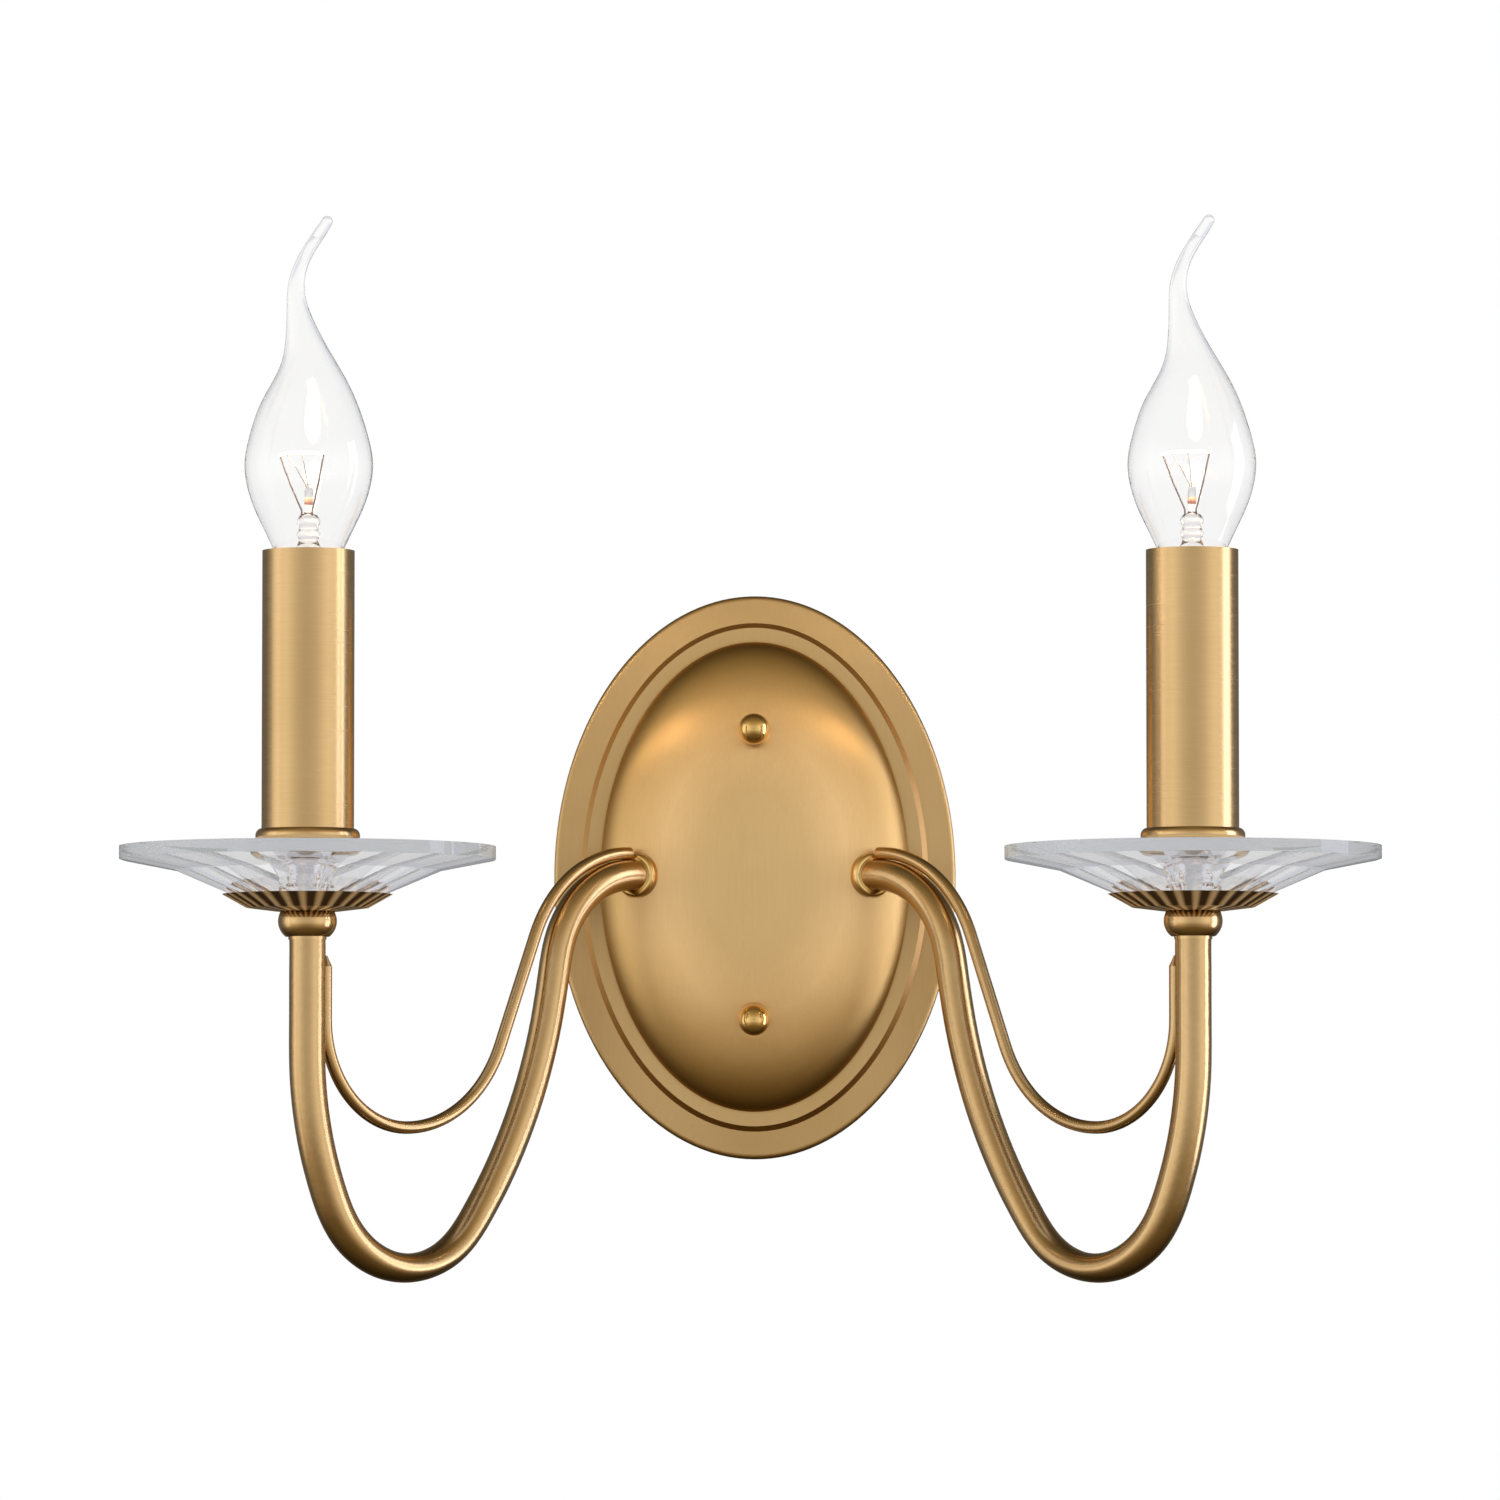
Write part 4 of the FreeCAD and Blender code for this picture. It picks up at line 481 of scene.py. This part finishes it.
materials = {
    # The plate's tone holds painted shade round the dome's edge and painted highlights on its shoulders.
    "plate": brushed_brass(
        "plate_brass",
        antique_tones(1.33),
        UPRIGHT,
        rough=(0.33, 0.38),
        lines=0.2,
        spread=SIDEWAYS,
        patina_and_painted_light=dome_painted_light,
    ),
    "arm": brushed_brass(
        "arm_brass", antique_tones(0.87), EVEN, rough=(0.20, 0.25), lines=0.02, grain=600.0
    ),
    "collar": brushed_brass("collar_brass", antique_tones(0.95), LEVEL, rough=(0.14, 0.22), lines=0.08),
    # The cup's tone holds antique patina and painted shade in the flute valleys and painted highlights on
    # the ridges.
    "cup": brushed_brass(
        "cup_brass",
        antique_tones(1.3),
        LEVEL,
        rough=(0.30, 0.40),
        lines=0.08,
        patina_and_painted_light=fluted_patina_and_painted_light,
        metallic=0.5,
    ),
    "neck": brushed_brass("neck_brass", antique_tones(0.30), LEVEL, rough=(0.2, 0.3), lines=0.08),
    "pan": brushed_brass("pan_brass", antique_tones(), LEVEL, rough=(0.18, 0.26), lines=0.1),
    "sleeve": brushed_brass("sleeve_brass", antique_tones(0.93), LEVEL, rough=(0.22, 0.28), lines=0.12),
    "polished": polished_brass("polished_brass"),
    "contact": plated("contact_brass", linear(214, 180, 104), linear(188, 150, 82)),
    "steel": plated("bracket_steel", linear(202, 204, 206), linear(160, 163, 168)),
    "screw": plated("screw_steel", linear(206, 206, 204), linear(172, 172, 170), (0.18, 0.3)),
    "cap": plated("cap_metal", linear(224, 224, 226), linear(190, 190, 194), (0.14, 0.26)),
    "block": moulded("block_plastic", linear(232, 230, 222), linear(222, 219, 208)),
    "holder": moulded("holder_plastic", linear(240, 238, 228), linear(230, 226, 214)),
    "washer": moulded("felt_washer", linear(44, 42, 40), linear(30, 29, 28), (0.7, 0.9)),
    "lead": moulded("lead_insulation", linear(118, 84, 56), linear(96, 66, 44)),
    "earth": moulded("earth_insulation", linear(86, 132, 52), linear(196, 184, 60)),
    "black": moulded("bulb_black_glass", linear(28, 28, 32), linear(16, 16, 20), (0.08, 0.16)),
    "crystal": clear_glass(
        "crystal", (0.94, 0.945, 0.96, 1.0), 1.48, 0.004, passes=7, edge_radius=DISH_EDGE_RADIUS
    ),
    "spindle": clear_glass("spindle_glass", (0.985, 0.985, 0.985, 1.0), 1.50, 0.003, passes=5),
    "bulb": clear_glass("bulb_glass", (0.985, 0.985, 0.98, 1.0), 1.42, 0.006),
    # The stem glass's warm peach tint is painted light: the filament's glow painted into the glass's colour.
    "stem": clear_glass("stem_glass", (0.98, 0.93, 0.88, 1.0), 1.50, 0.05, rough=(0.0, 0.03)),
    "nipple": plated("nipple_steel", linear(240, 240, 238), linear(222, 222, 220), (0.2, 0.3), 0.3),
    "wire": plated("support_wire", linear(150, 132, 124), linear(120, 104, 98), (0.3, 0.45)),
    "band": moulded("exhaust_band", linear(226, 170, 150), linear(214, 150, 130), (0.3, 0.4)),
    "filament": glowing("filament", linear(255, 214, 150), 5.0),
}

NODE_MATERIALS = {
    "mounting_bracket": "steel",
    "mounting_studs": "screw",
    "stud_locknuts": "screw",
    "terminal_block": "block",
    "terminal_screws": "screw",
    "block_screw": "screw",
    "earth_screw": "contact",
    "earth_lead": "earth",
    "backplate": "plate",
    "arm_locknuts": "screw",
    "arm_lockwashers": "screw",
    "dish_washers": "washer",
    "nipple_nuts": "screw",
    "nut_washer": "polished",
    "ball_nut": "polished",
    "arm_ferrule": "polished",
    "arm_tube": "arm",
    "scroll_rod": "arm",
    "ball_collar": "collar",
    "fluted_cup": "cup",
    "crystal_dish": "crystal",
    "glass_spindle": "spindle",
    "candle_pan": "pan",
    "threaded_nipple": "screw",
    "candle_sleeve": "sleeve",
    "lampholder_leg": "steel",
    "lampholder_body": "holder",
    "lampholder_shell": "contact",
    "lampholder_contact": "contact",
    "bulb_foot_contact": "contact",
    "bulb_insulator": "black",
    "bulb_cap": "cap",
    "bulb_glass": "bulb",
    "bulb_stem": "stem",
    "bulb_filament": "filament",
    "lead_wires": "lead",
}


def kind_of(node):
    """The node's name without its side or end."""
    head, _, tail = node.rpartition("_")
    return head if tail in ("left", "right", "top", "bottom") else node


def paint_nodes():
    for name, item in frame["nodes"].items():
        item.data.materials.clear()
        item.data.materials.append(materials[NODE_MATERIALS[kind_of(name)]])


# Pieces made here


def add_piece(name, points, faces, material, body, slot, stands_for=()):
    """A smooth piece that rides on a body, in place of the nodes that it stands for."""
    mesh = bpy.data.meshes.new(name)
    mesh.from_pydata(points, [], faces)
    mesh.validate()
    for face in mesh.polygons:
        face.use_smooth = True
    item = bpy.data.objects.new(name, mesh)
    bpy.context.scene.collection.objects.link(item)
    mesh.materials.append(materials[material])
    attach(item, body)
    if stands_for:
        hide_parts(*stands_for)
    return item


def joined(parts):
    """One list of points and faces from several."""
    points, faces = [], []
    for more_points, more_faces in parts:
        start = len(points)
        points.extend(more_points)
        faces.extend(tuple(start + k for k in face) for face in more_faces)
    return points, faces


def wire(path, radius, sides=8):
    """A round wire along a list of points, closed at both ends."""
    points, faces = [], []
    across = None
    for k, here in enumerate(path):
        way = (path[min(k + 1, len(path) - 1)] - path[max(k - 1, 0)]).normalized()
        if across is None:
            across = way.orthogonal().normalized()
        across = (across - way * across.dot(way)).normalized()
        third = way.cross(across)
        for n in range(sides):
            turn = 2 * math.pi * n / sides
            points.append(here + radius * (math.cos(turn) * across + math.sin(turn) * third))
    for k in range(len(path) - 1):
        for n in range(sides):
            a = k * sides + n
            b = k * sides + (n + 1) % sides
            faces.append((a, b, b + sides, a + sides))
    faces.append(tuple(reversed(range(sides))))
    faces.append(tuple(range(len(points) - sides, len(points))))
    return points, faces


def threaded_tube(foot, length, outer, inner, around, steps):
    """An upright tube. Outer and inner give the radius for a distance from the foot and a turn."""
    side = UP.orthogonal().normalized()
    third = UP.cross(side)
    points, faces = [], []
    for radius in (outer, inner):
        for k in range(steps + 1):
            rise = length * k / steps
            for n in range(around):
                turn = 2 * math.pi * n / around
                spoke = math.cos(turn) * side + math.sin(turn) * third
                points.append(foot + UP * rise + spoke * radius(rise, turn))
    skin = (steps + 1) * around
    for k in range(steps):
        for n in range(around):
            a = k * around + n
            b = k * around + (n + 1) % around
            faces.append((a, b, b + around, a + around))
            faces.append((skin + b, skin + a, skin + a + around, skin + b + around))
    for n in range(around):
        m = (n + 1) % around
        faces.append((m, n, skin + n, skin + m))
        last = steps * around
        faces.append((last + n, last + m, skin + last + m, skin + last + n))
    return points, faces


def ridge(crest, depth, pitch, start, end):
    """The radius of a thread that fades in and out at its ends, for a distance and a turn."""

    def radius(distance, turn):
        fade = min(1.0, max(0.0, min(distance - start, end - distance) / (0.5 * pitch)))
        wave = 0.5 - 0.5 * math.cos(2 * math.pi * distance / pitch - turn)
        return crest - depth * (1.0 - fade) - depth * fade * wave

    return radius


def plain(radius):
    return lambda distance, turn: radius


def make_cap(side):
    """The lamp's screw cap: a rolled thread below a plain skirt."""
    node = "bulb_cap_" + side
    foot, crest, length = upright(node)
    thread = ridge(crest, CAP_DEPTH, CAP_PITCH, CAP_LEAD_IN, CAP_THREAD_END * length)
    hollow = crest - CAP_DEPTH - CAP_SHEET

    def outside(distance, turn):
        return crest - CAP_SKIRT_INSET if distance > CAP_SKIRT_START * length else thread(distance, turn)

    tube = threaded_tube(foot, length, outside, plain(hollow), around=64, steps=110)
    add_piece(node + "_rolled", *tube, "cap", "lamp_" + side, slot_of(node), [node])


def make_shell(side):
    """The holder's thread, rolled to the same pitch as the lamp's cap."""
    node = "lampholder_shell_" + side
    foot, outer, length = upright(node)
    cap_crest = upright("bulb_cap_" + side)[1]
    rolled = ridge(outer - SHELL_SHEET, outer - cap_crest - SHELL_PLAY, CAP_PITCH, 0.0, length)
    tube = threaded_tube(foot, length, plain(outer), rolled, around=64, steps=90)
    add_piece(node + "_rolled", *tube, "contact", "sconce", slot_of(node), [node])


def make_nipple(side):
    """The threaded tube through the stack under a candle."""
    node = "threaded_nipple_" + side
    foot, crest, length = upright(node)
    thread = ridge(crest, NIPPLE_DEPTH, NIPPLE_PITCH, 0.0, length)
    steps = POINTS_PER_TURN * round(length / NIPPLE_PITCH)
    tube = threaded_tube(foot, length, thread, plain(NIPPLE_BORE), around=40, steps=steps)
    add_piece(node + "_cut", *tube, "nipple", "sconce", slot_of(node), [node])


def lathe(centre, profile, flatten, around=40):
    """A closed turned form from (radius, height) pairs. Flatten gives its depth as a share of its width."""
    points, faces = [], []
    for radius, height in profile:
        depth = flatten(height)
        for n in range(around):
            turn = 2 * math.pi * n / around
            spoke = Vector((radius * math.cos(turn), depth * radius * math.sin(turn), height))
            points.append(centre + spoke)
    for k in range(len(profile) - 1):
        for n in range(around):
            a = k * around + n
            b = k * around + (n + 1) % around
            faces.append((a, b, b + around, a + around))
    faces.append(tuple(reversed(range(around))))
    faces.append(tuple(range(len(points) - around, len(points))))
    return points, faces


def make_stem(side):
    """The lamp's glass mount: a flared foot, a pinched and beaded middle and the thin exhaust tube."""
    node = "bulb_stem_" + side
    middle, low, high = middle_of(node)
    foot = (high.x - low.x) / 2
    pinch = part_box("bulb_filament_" + side)[0].z
    tall = pinch - low.z
    # the foot and the flare that narrows into the beaded middle
    profile = [(0.0004, low.z), (foot, low.z)]
    for k in range(STEM_STEPS + 1):
        share = k / STEM_STEPS
        flare = foot + (STEM_RADIUS - foot) * min(1.0, share / 0.55) ** 0.6
        wave = math.cos(2 * math.pi * share * tall / STEM_BEAD)
        bead = STEM_BEAD_DEPTH * wave * min(1.0, 2.0 * share)
        profile.append((flare - 0.0003 + bead, low.z + 0.0002 + share * (tall - 0.0010)))
    # the pinch, the exhaust tube and its melted tip
    profile += [(0.0022, pinch - 0.0002), (0.00125, pinch), (EXHAUST_RADIUS, pinch + 0.0006)]
    profile += [(EXHAUST_RADIUS, high.z - 0.0009), (0.0014, high.z - 0.0004), (0.0009, high.z)]

    def flat(height):
        if height >= pinch:
            return 1.0
        share = (height - low.z) / tall
        return 1.0 - 0.35 * min(1.0, max(0.0, (share - 0.3) / 0.3))

    turned = lathe(Vector((middle.x, middle.y, 0.0)), profile, flat)
    add_piece("stem_" + side, *turned, "stem", "lamp_" + side, slot_of(node), [node])


def make_spindle(side):
    """The cut glass spindle: a foot of round lobes, a ring of smaller ones and a scalloped flare."""
    node = "glass_spindle_" + side
    foot, widest, height = upright(node)
    length = height - 2 * GLASS_GAP

    def cut(distance, turn):
        share = distance / length
        for start, end, reach, lobes in SPINDLE_RINGS:
            if share <= end:
                along = (share - start) / (end - start)
                swell = math.sqrt(max(0.0, 1.0 - (2 * along - 1.0) ** 2))
                lobe = abs(math.cos(lobes / 2 * turn))
                return SPINDLE_WAIST + (reach - SPINDLE_WAIST) * swell * (0.35 + 0.65 * lobe)
        along = min(1.0, (share - FLARE_FROM) / (1.0 - FLARE_FROM))
        bowl = SPINDLE_THROAT + (widest - SPINDLE_THROAT) * along**1.6
        fade = min(1.0, 2.5 * (1.0 - along))
        return bowl * (1.0 - FLARE_CUT * fade * (1.0 - abs(math.cos(FLARE_LOBES / 2 * turn))))

    tube = threaded_tube(foot + GLASS_GAP * UP, length, cut, plain(SPINDLE_BORE), around=144, steps=60)
    add_piece("spindle_cut_" + side, *tube, "spindle", "sconce", slot_of(node), [node])


def make_dish(side):
    """The faceted dish with walls of even thickness, which show what stands in it in its place."""
    node = "crystal_dish_" + side
    foot, rim, top = upright(node)
    half = math.pi / DISH_FACETS
    lower_slope = DISH_BREAK_RISE / (DISH_BREAK_RADIUS - DISH_BASE_RADIUS)
    upper_slope = (DISH_RIM_RISE - DISH_BREAK_RISE) / (rim / math.cos(half) - DISH_BREAK_RADIUS)
    land = rim - DISH_LAND
    shoulder_rise = top - upper_slope * (land - DISH_SHOULDER_RADIUS)
    floor_radius = DISH_SHOULDER_RADIUS - (shoulder_rise - DISH_FLOOR) / lower_slope

    def section(lean):
        """Radius and rise round the wall, at an angle from the middle of a facet."""
        return [
            (DISH_HOLE, GLASS_GAP),
            (DISH_BASE_RADIUS / math.cos(lean), GLASS_GAP),
            (DISH_BREAK_RADIUS / math.cos(lean), DISH_BREAK_RISE),
            (rim, DISH_BREAK_RISE + upper_slope * (rim * math.cos(lean) - DISH_BREAK_RADIUS)),
            (rim, top),
            (land, top),
            (DISH_SHOULDER_RADIUS, shoulder_rise),
            (floor_radius, DISH_FLOOR),
            (DISH_HOLE, DISH_FLOOR),
        ]

    around = DISH_POINTS_PER_FACET * DISH_FACETS
    columns = []
    for k in range(around):
        lean = 2 * half * (k % DISH_POINTS_PER_FACET) / DISH_POINTS_PER_FACET - half
        turn = 2 * math.pi * k / around + half
        way = Vector((math.cos(turn), math.sin(turn), 0.0))
        columns.append([foot + radius * way + rise * UP for radius, rise in section(lean)])
    rows = list(zip(*columns))
    points = [point for row in rows for point in row]
    faces = []
    for k in range(len(rows)):
        here, there = k * around, (k + 1) % len(rows) * around
        for n in range(around):
            after = (n + 1) % around
            faces.append((here + n, here + after, there + after, there + n))
    dish = add_piece("dish_cut_" + side, points, faces, "crystal", "sconce", slot_of(node), [node])
    dish.data.set_sharp_from_angle(angle=math.radians(FACET_ANGLE))


def make_neck_ring(side):
    """The ribbed ring between the ball collar and the cup."""
    node = "ball_collar_" + side
    middle, _, high = middle_of(node)
    foot = Vector((middle.x, middle.y, high.z - NECK_HEIGHT))

    def ribs(distance, turn):
        swell = math.sin(math.pi * min(1.0, max(0.0, distance / NECK_HEIGHT)))
        return NECK_RADIUS + NECK_RIB * abs(math.cos(NECK_RIBS / 2 * turn)) * (0.4 + 0.6 * swell)

    ring = threaded_tube(foot, NECK_HEIGHT, ribs, plain(NECK_BORE), around=12 * NECK_RIBS, steps=6)
    add_piece("neck_ring_" + side, *ring, "neck", "sconce", slot_of(node))


def make_filament(side):
    """Two support wires on the pinch, two fine hooks on the exhaust tube, the coiled filament between
    them and the coloured band at the exhaust tube's foot."""
    node = "bulb_filament_" + side
    stem = "bulb_stem_" + side
    body = "lamp_" + side
    low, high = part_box(node)
    stem_middle, _, stem_high = middle_of(stem)
    centre = Vector((stem_middle.x, stem_middle.y, 0.0))
    level = high.z - 1.4 * COIL_RADIUS

    def at(angle, reach, height):
        turn = math.radians(angle)
        return centre + Vector((reach * math.cos(turn), reach * math.sin(turn), height))

    wires = []
    for angle, lean in ((FILAMENT_FROM, 1), (FILAMENT_TO, -1)):
        foot = at(angle, 0.6 * STEM_RADIUS, low.z - 0.0005)
        top = at(angle, FILAMENT_REACH, level)
        tip = at(angle + 6 * lean, FILAMENT_REACH, level + COIL_RADIUS)
        wires.append(wire([foot, foot + 0.0015 * UP, foot.lerp(top, 0.5), top, tip], SUPPORT_WIRE))
    for share in (0.36, 0.64):
        angle = FILAMENT_FROM + share * (FILAMENT_TO - FILAMENT_FROM)
        start = at(angle, 0.0006, stem_high.z - 0.0008)
        out = at(angle, 0.55 * FILAMENT_REACH, 0.5 * (level + stem_high.z))
        wires.append(wire([start, out, at(angle, FILAMENT_REACH, level - COIL_RADIUS)], HOOK_WIRE))
    add_piece("support_wires_" + side, *joined(wires), "wire", body, slot_of(node), [node])
    path = []
    count = COIL_TURNS * POINTS_PER_TURN
    for k in range(count + 1):
        share = k / count
        angle = FILAMENT_FROM + share * (FILAMENT_TO - FILAMENT_FROM)
        out = at(angle, 1.0, 0.0) - centre
        wind = 2 * math.pi * COIL_TURNS * share
        rim = COIL_RADIUS * (math.cos(wind) * out + math.sin(wind) * UP)
        path.append(at(angle, FILAMENT_REACH, level) + rim)
    coil = wire(path, COIL_WIRE, sides=5)
    add_piece("filament_coil_" + side, *coil, "filament", body, slot_of(node))
    band_foot = centre + (stem_high.z - BAND_DROP) * UP
    outer, inner = plain(BAND_RADIUS), plain(BAND_BORE)
    band = threaded_tube(band_foot, BAND_HEIGHT, outer, inner, around=24, steps=2)
    add_piece("exhaust_band_" + side, *band, "band", body, slot_of(stem))


def make_pieces():
    for side in SIDES:
        make_cap(side)
        make_shell(side)
        make_nipple(side)
        make_stem(side)
        make_spindle(side)
        make_dish(side)
        make_neck_ring(side)
        make_filament(side)


# Studio


def look_at(item, target):
    way = Vector(target) - item.location
    item.rotation_euler = way.to_track_quat("-Z", "Y").to_euler()


def make_camera():
    data = bpy.data.cameras.new("camera")
    data.lens = LENS
    data.sensor_width = SENSOR
    data.clip_end = 50.0
    item = bpy.data.objects.new("camera", data)
    bpy.context.scene.collection.objects.link(item)
    item.location = (CAMERA_SIDE, CANDLE_PLANE - CAMERA_DISTANCE, CAMERA_HEIGHT)
    look_at(item, (0.0, CANDLE_PLANE, AIM_HEIGHT))
    bpy.context.scene.camera = item


def soft_light(name, place, target, width, height, watts, colour=(1.0, 1.0, 1.0)):
    data = bpy.data.lights.new(name, "AREA")
    data.shape = "RECTANGLE"
    data.size = width
    data.size_y = height
    data.energy = watts
    data.color = colour
    item = bpy.data.objects.new(name, data)
    bpy.context.scene.collection.objects.link(item)
    item.location = place
    item.visible_camera = False
    item.visible_transmission = False
    look_at(item, target)
    return item


def lamp_glow(side):
    """The lit filament, as a small warm lamp: it shines on the sleeve, the pan and the plate."""
    middle, _, high = middle_of("bulb_filament_" + side)
    data = bpy.data.lights.new("glow_" + side, "POINT")
    data.shadow_soft_size = GLOW_RADIUS
    data.energy = GLOW_WATTS
    data.color = GLOW_COLOUR
    item = bpy.data.objects.new("glow_" + side, data)
    bpy.context.scene.collection.objects.link(item)
    item.location = (middle.x, middle.y, high.z)
    item.visible_camera = False
    item.visible_transmission = False


# Colour of what brass mirrors, by how far up (1) or down (-1) the ray goes
SKY = [
    (-1.00, (0.10, 0.07, 0.03)),
    (-0.70, (0.16, 0.12, 0.06)),
    (-0.42, (0.46, 0.39, 0.29)),
    (-0.18, (0.94, 0.91, 0.86)),
    (0.00, (1.0, 1.0, 1.0)),
    (0.25, (0.94, 0.91, 0.87)),
    (0.55, (0.52, 0.44, 0.32)),
    (0.80, (0.28, 0.23, 0.14)),
    (1.00, (0.20, 0.16, 0.09)),
]
# The same for what clear glass shows: white on the level, pale grey where a facet bends the view
THROUGH = [
    (-1.00, (0.62, 0.62, 0.66)),
    (-0.36, (0.70, 0.71, 0.76)),
    (-0.14, (0.96, 0.96, 0.97)),
    (0.00, (1.0, 1.0, 1.0)),
    (0.14, (0.98, 0.98, 0.98)),
    (0.36, (0.74, 0.75, 0.79)),
    (1.00, (0.66, 0.66, 0.70)),
]
# Strength of what brass mirrors, by how far the ray goes to the viewer (-1) or to the wall (1)
ROOM = [
    (-1.00, 0.74),
    (-0.92, 0.86),
    (-0.80, 1.05),
    (-0.60, 1.30),
    (-0.35, 1.20),
    (-0.05, 0.85),
    (0.28, 0.45),
    (0.50, 0.20),
    (1.00, 0.16),
]


def make_world():
    """White for the camera and nearly so through glass. Brass mirrors a warm room that is dimmer above,
    below and near the wall. Everything else gets an even soft light."""
    world = bpy.data.worlds.new("world")
    bpy.context.scene.world = world
    world.use_nodes = True
    tree = world.node_tree
    tree.nodes.clear()

    def add(kind):
        return tree.nodes.new("ShaderNode" + kind)

    def shaded(source, levels):
        """A colour by the part of the direction, -1 to 1, that lies along an axis."""
        share = add("MapRange")
        share.inputs["From Min"].default_value = -1.0
        tree.links.new(source, share.inputs["Value"])
        ramp = add("ValToRGB")
        stops = ramp.color_ramp.elements
        while len(stops) < len(levels):
            stops.new(0.5)
        for stop, (place, level) in zip(stops, levels):
            stop.position = (place + 1) / 2
            stop.color = (*level, 1.0)
        tree.links.new(share.outputs["Result"], ramp.inputs["Fac"])
        return ramp.outputs["Color"]

    direction = add("TexCoord")
    split = add("SeparateXYZ")
    tree.links.new(direction.outputs["Generated"], split.inputs["Vector"])
    mirrored = add("Background")
    tree.links.new(shaded(split.outputs["Z"], SKY), mirrored.inputs["Color"])
    walls = shaded(split.outputs["Y"], [(place, (level,) * 3) for place, level in ROOM])
    tree.links.new(walls, mirrored.inputs["Strength"])
    soft = add("Background")
    soft.inputs["Color"].default_value = (1.0, 0.99, 0.97, 1.0)
    soft.inputs["Strength"].default_value = 0.55
    through = add("Background")
    tree.links.new(shaded(split.outputs["Z"], THROUGH), through.inputs["Color"])
    white = add("Background")
    white.inputs["Color"].default_value = (1.0, 1.0, 1.0, 1.0)
    path = add("LightPath")
    shown = soft
    for ray, background in (("Glossy", mirrored), ("Transmission", through), ("Camera", white)):
        either = add("MixShader")
        tree.links.new(path.outputs["Is %s Ray" % ray], either.inputs["Fac"])
        tree.links.new(shown.outputs[0], either.inputs[1])
        tree.links.new(background.outputs[0], either.inputs[2])
        shown = either
    output = add("OutputWorld")
    tree.links.new(shown.outputs[0], output.inputs["Surface"])


def make_floor():
    """A round pale floor, as white as the background but for shadows. It fades out at its edge and is
    clear from below."""
    grid = bmesh.new()
    bmesh.ops.create_circle(grid, cap_ends=True, segments=96, radius=FLOOR_RADIUS)
    mesh = bpy.data.meshes.new("floor")
    grid.to_mesh(mesh)
    grid.free()
    item = bpy.data.objects.new("floor", mesh)
    item.location.z = CAD_BOX[0].z - FLOOR_DROP
    bpy.context.scene.collection.objects.link(item)
    made = Nodes("floor_white")
    made.set(Roughness=0.9, Emission_Color=(1.0, 1.0, 1.0, 1.0))
    grain = made.noise(3.0)
    made.colour(made.ramp(grain, [(0.2, (0.90, 0.90, 0.90, 1)), (0.8, (0.93, 0.93, 0.93, 1))]))
    distance = made.add("VectorMath", operation="LENGTH")
    made.join(made.places(), distance.inputs[0])
    fade = made.span(distance.outputs["Value"], 1.0, 0.0, 0.5 * FLOOR_RADIUS, 0.95 * FLOOR_RADIUS)
    from_above = made.math("SUBTRACT", 1.0, made.add("NewGeometry").outputs["Backfacing"])
    made.join(made.math("MULTIPLY", fade, from_above), made.shader.inputs["Alpha"])
    path = made.add("LightPath")
    seen = made.math("MAXIMUM", path.outputs["Is Camera Ray"], path.outputs["Is Glossy Ray"])
    seen = made.math("MAXIMUM", seen, path.outputs["Is Transmission Ray"])
    made.join(made.math("MULTIPLY", seen, FLOOR_GLOW), made.shader.inputs["Emission Strength"])
    mesh.materials.append(made.material)
    item.visible_glossy = False


def make_lights():
    aim = (0.0, -0.08, 0.02)
    cool, warm = (0.92, 0.97, 1.25), (1.0, 0.96, 1.0)
    soft_light("side_right", (1.5, -0.02, 0.05), aim, width=0.6, height=1.5, watts=7.0, colour=cool)
    soft_light("side_left", (-1.5, -0.25, 0.05), aim, width=0.6, height=1.5, watts=1.2, colour=warm)
    front = soft_light("front", (0.3, -2.4, 0.3), aim, width=1.6, height=1.2, watts=3.0)
    front.visible_glossy = False
    for side in SIDES:
        lamp_glow(side)


make_camera()
make_world()
make_floor()
make_lights()
paint_nodes()
make_pieces()
bpy.context.scene.view_settings.view_transform = "Standard"
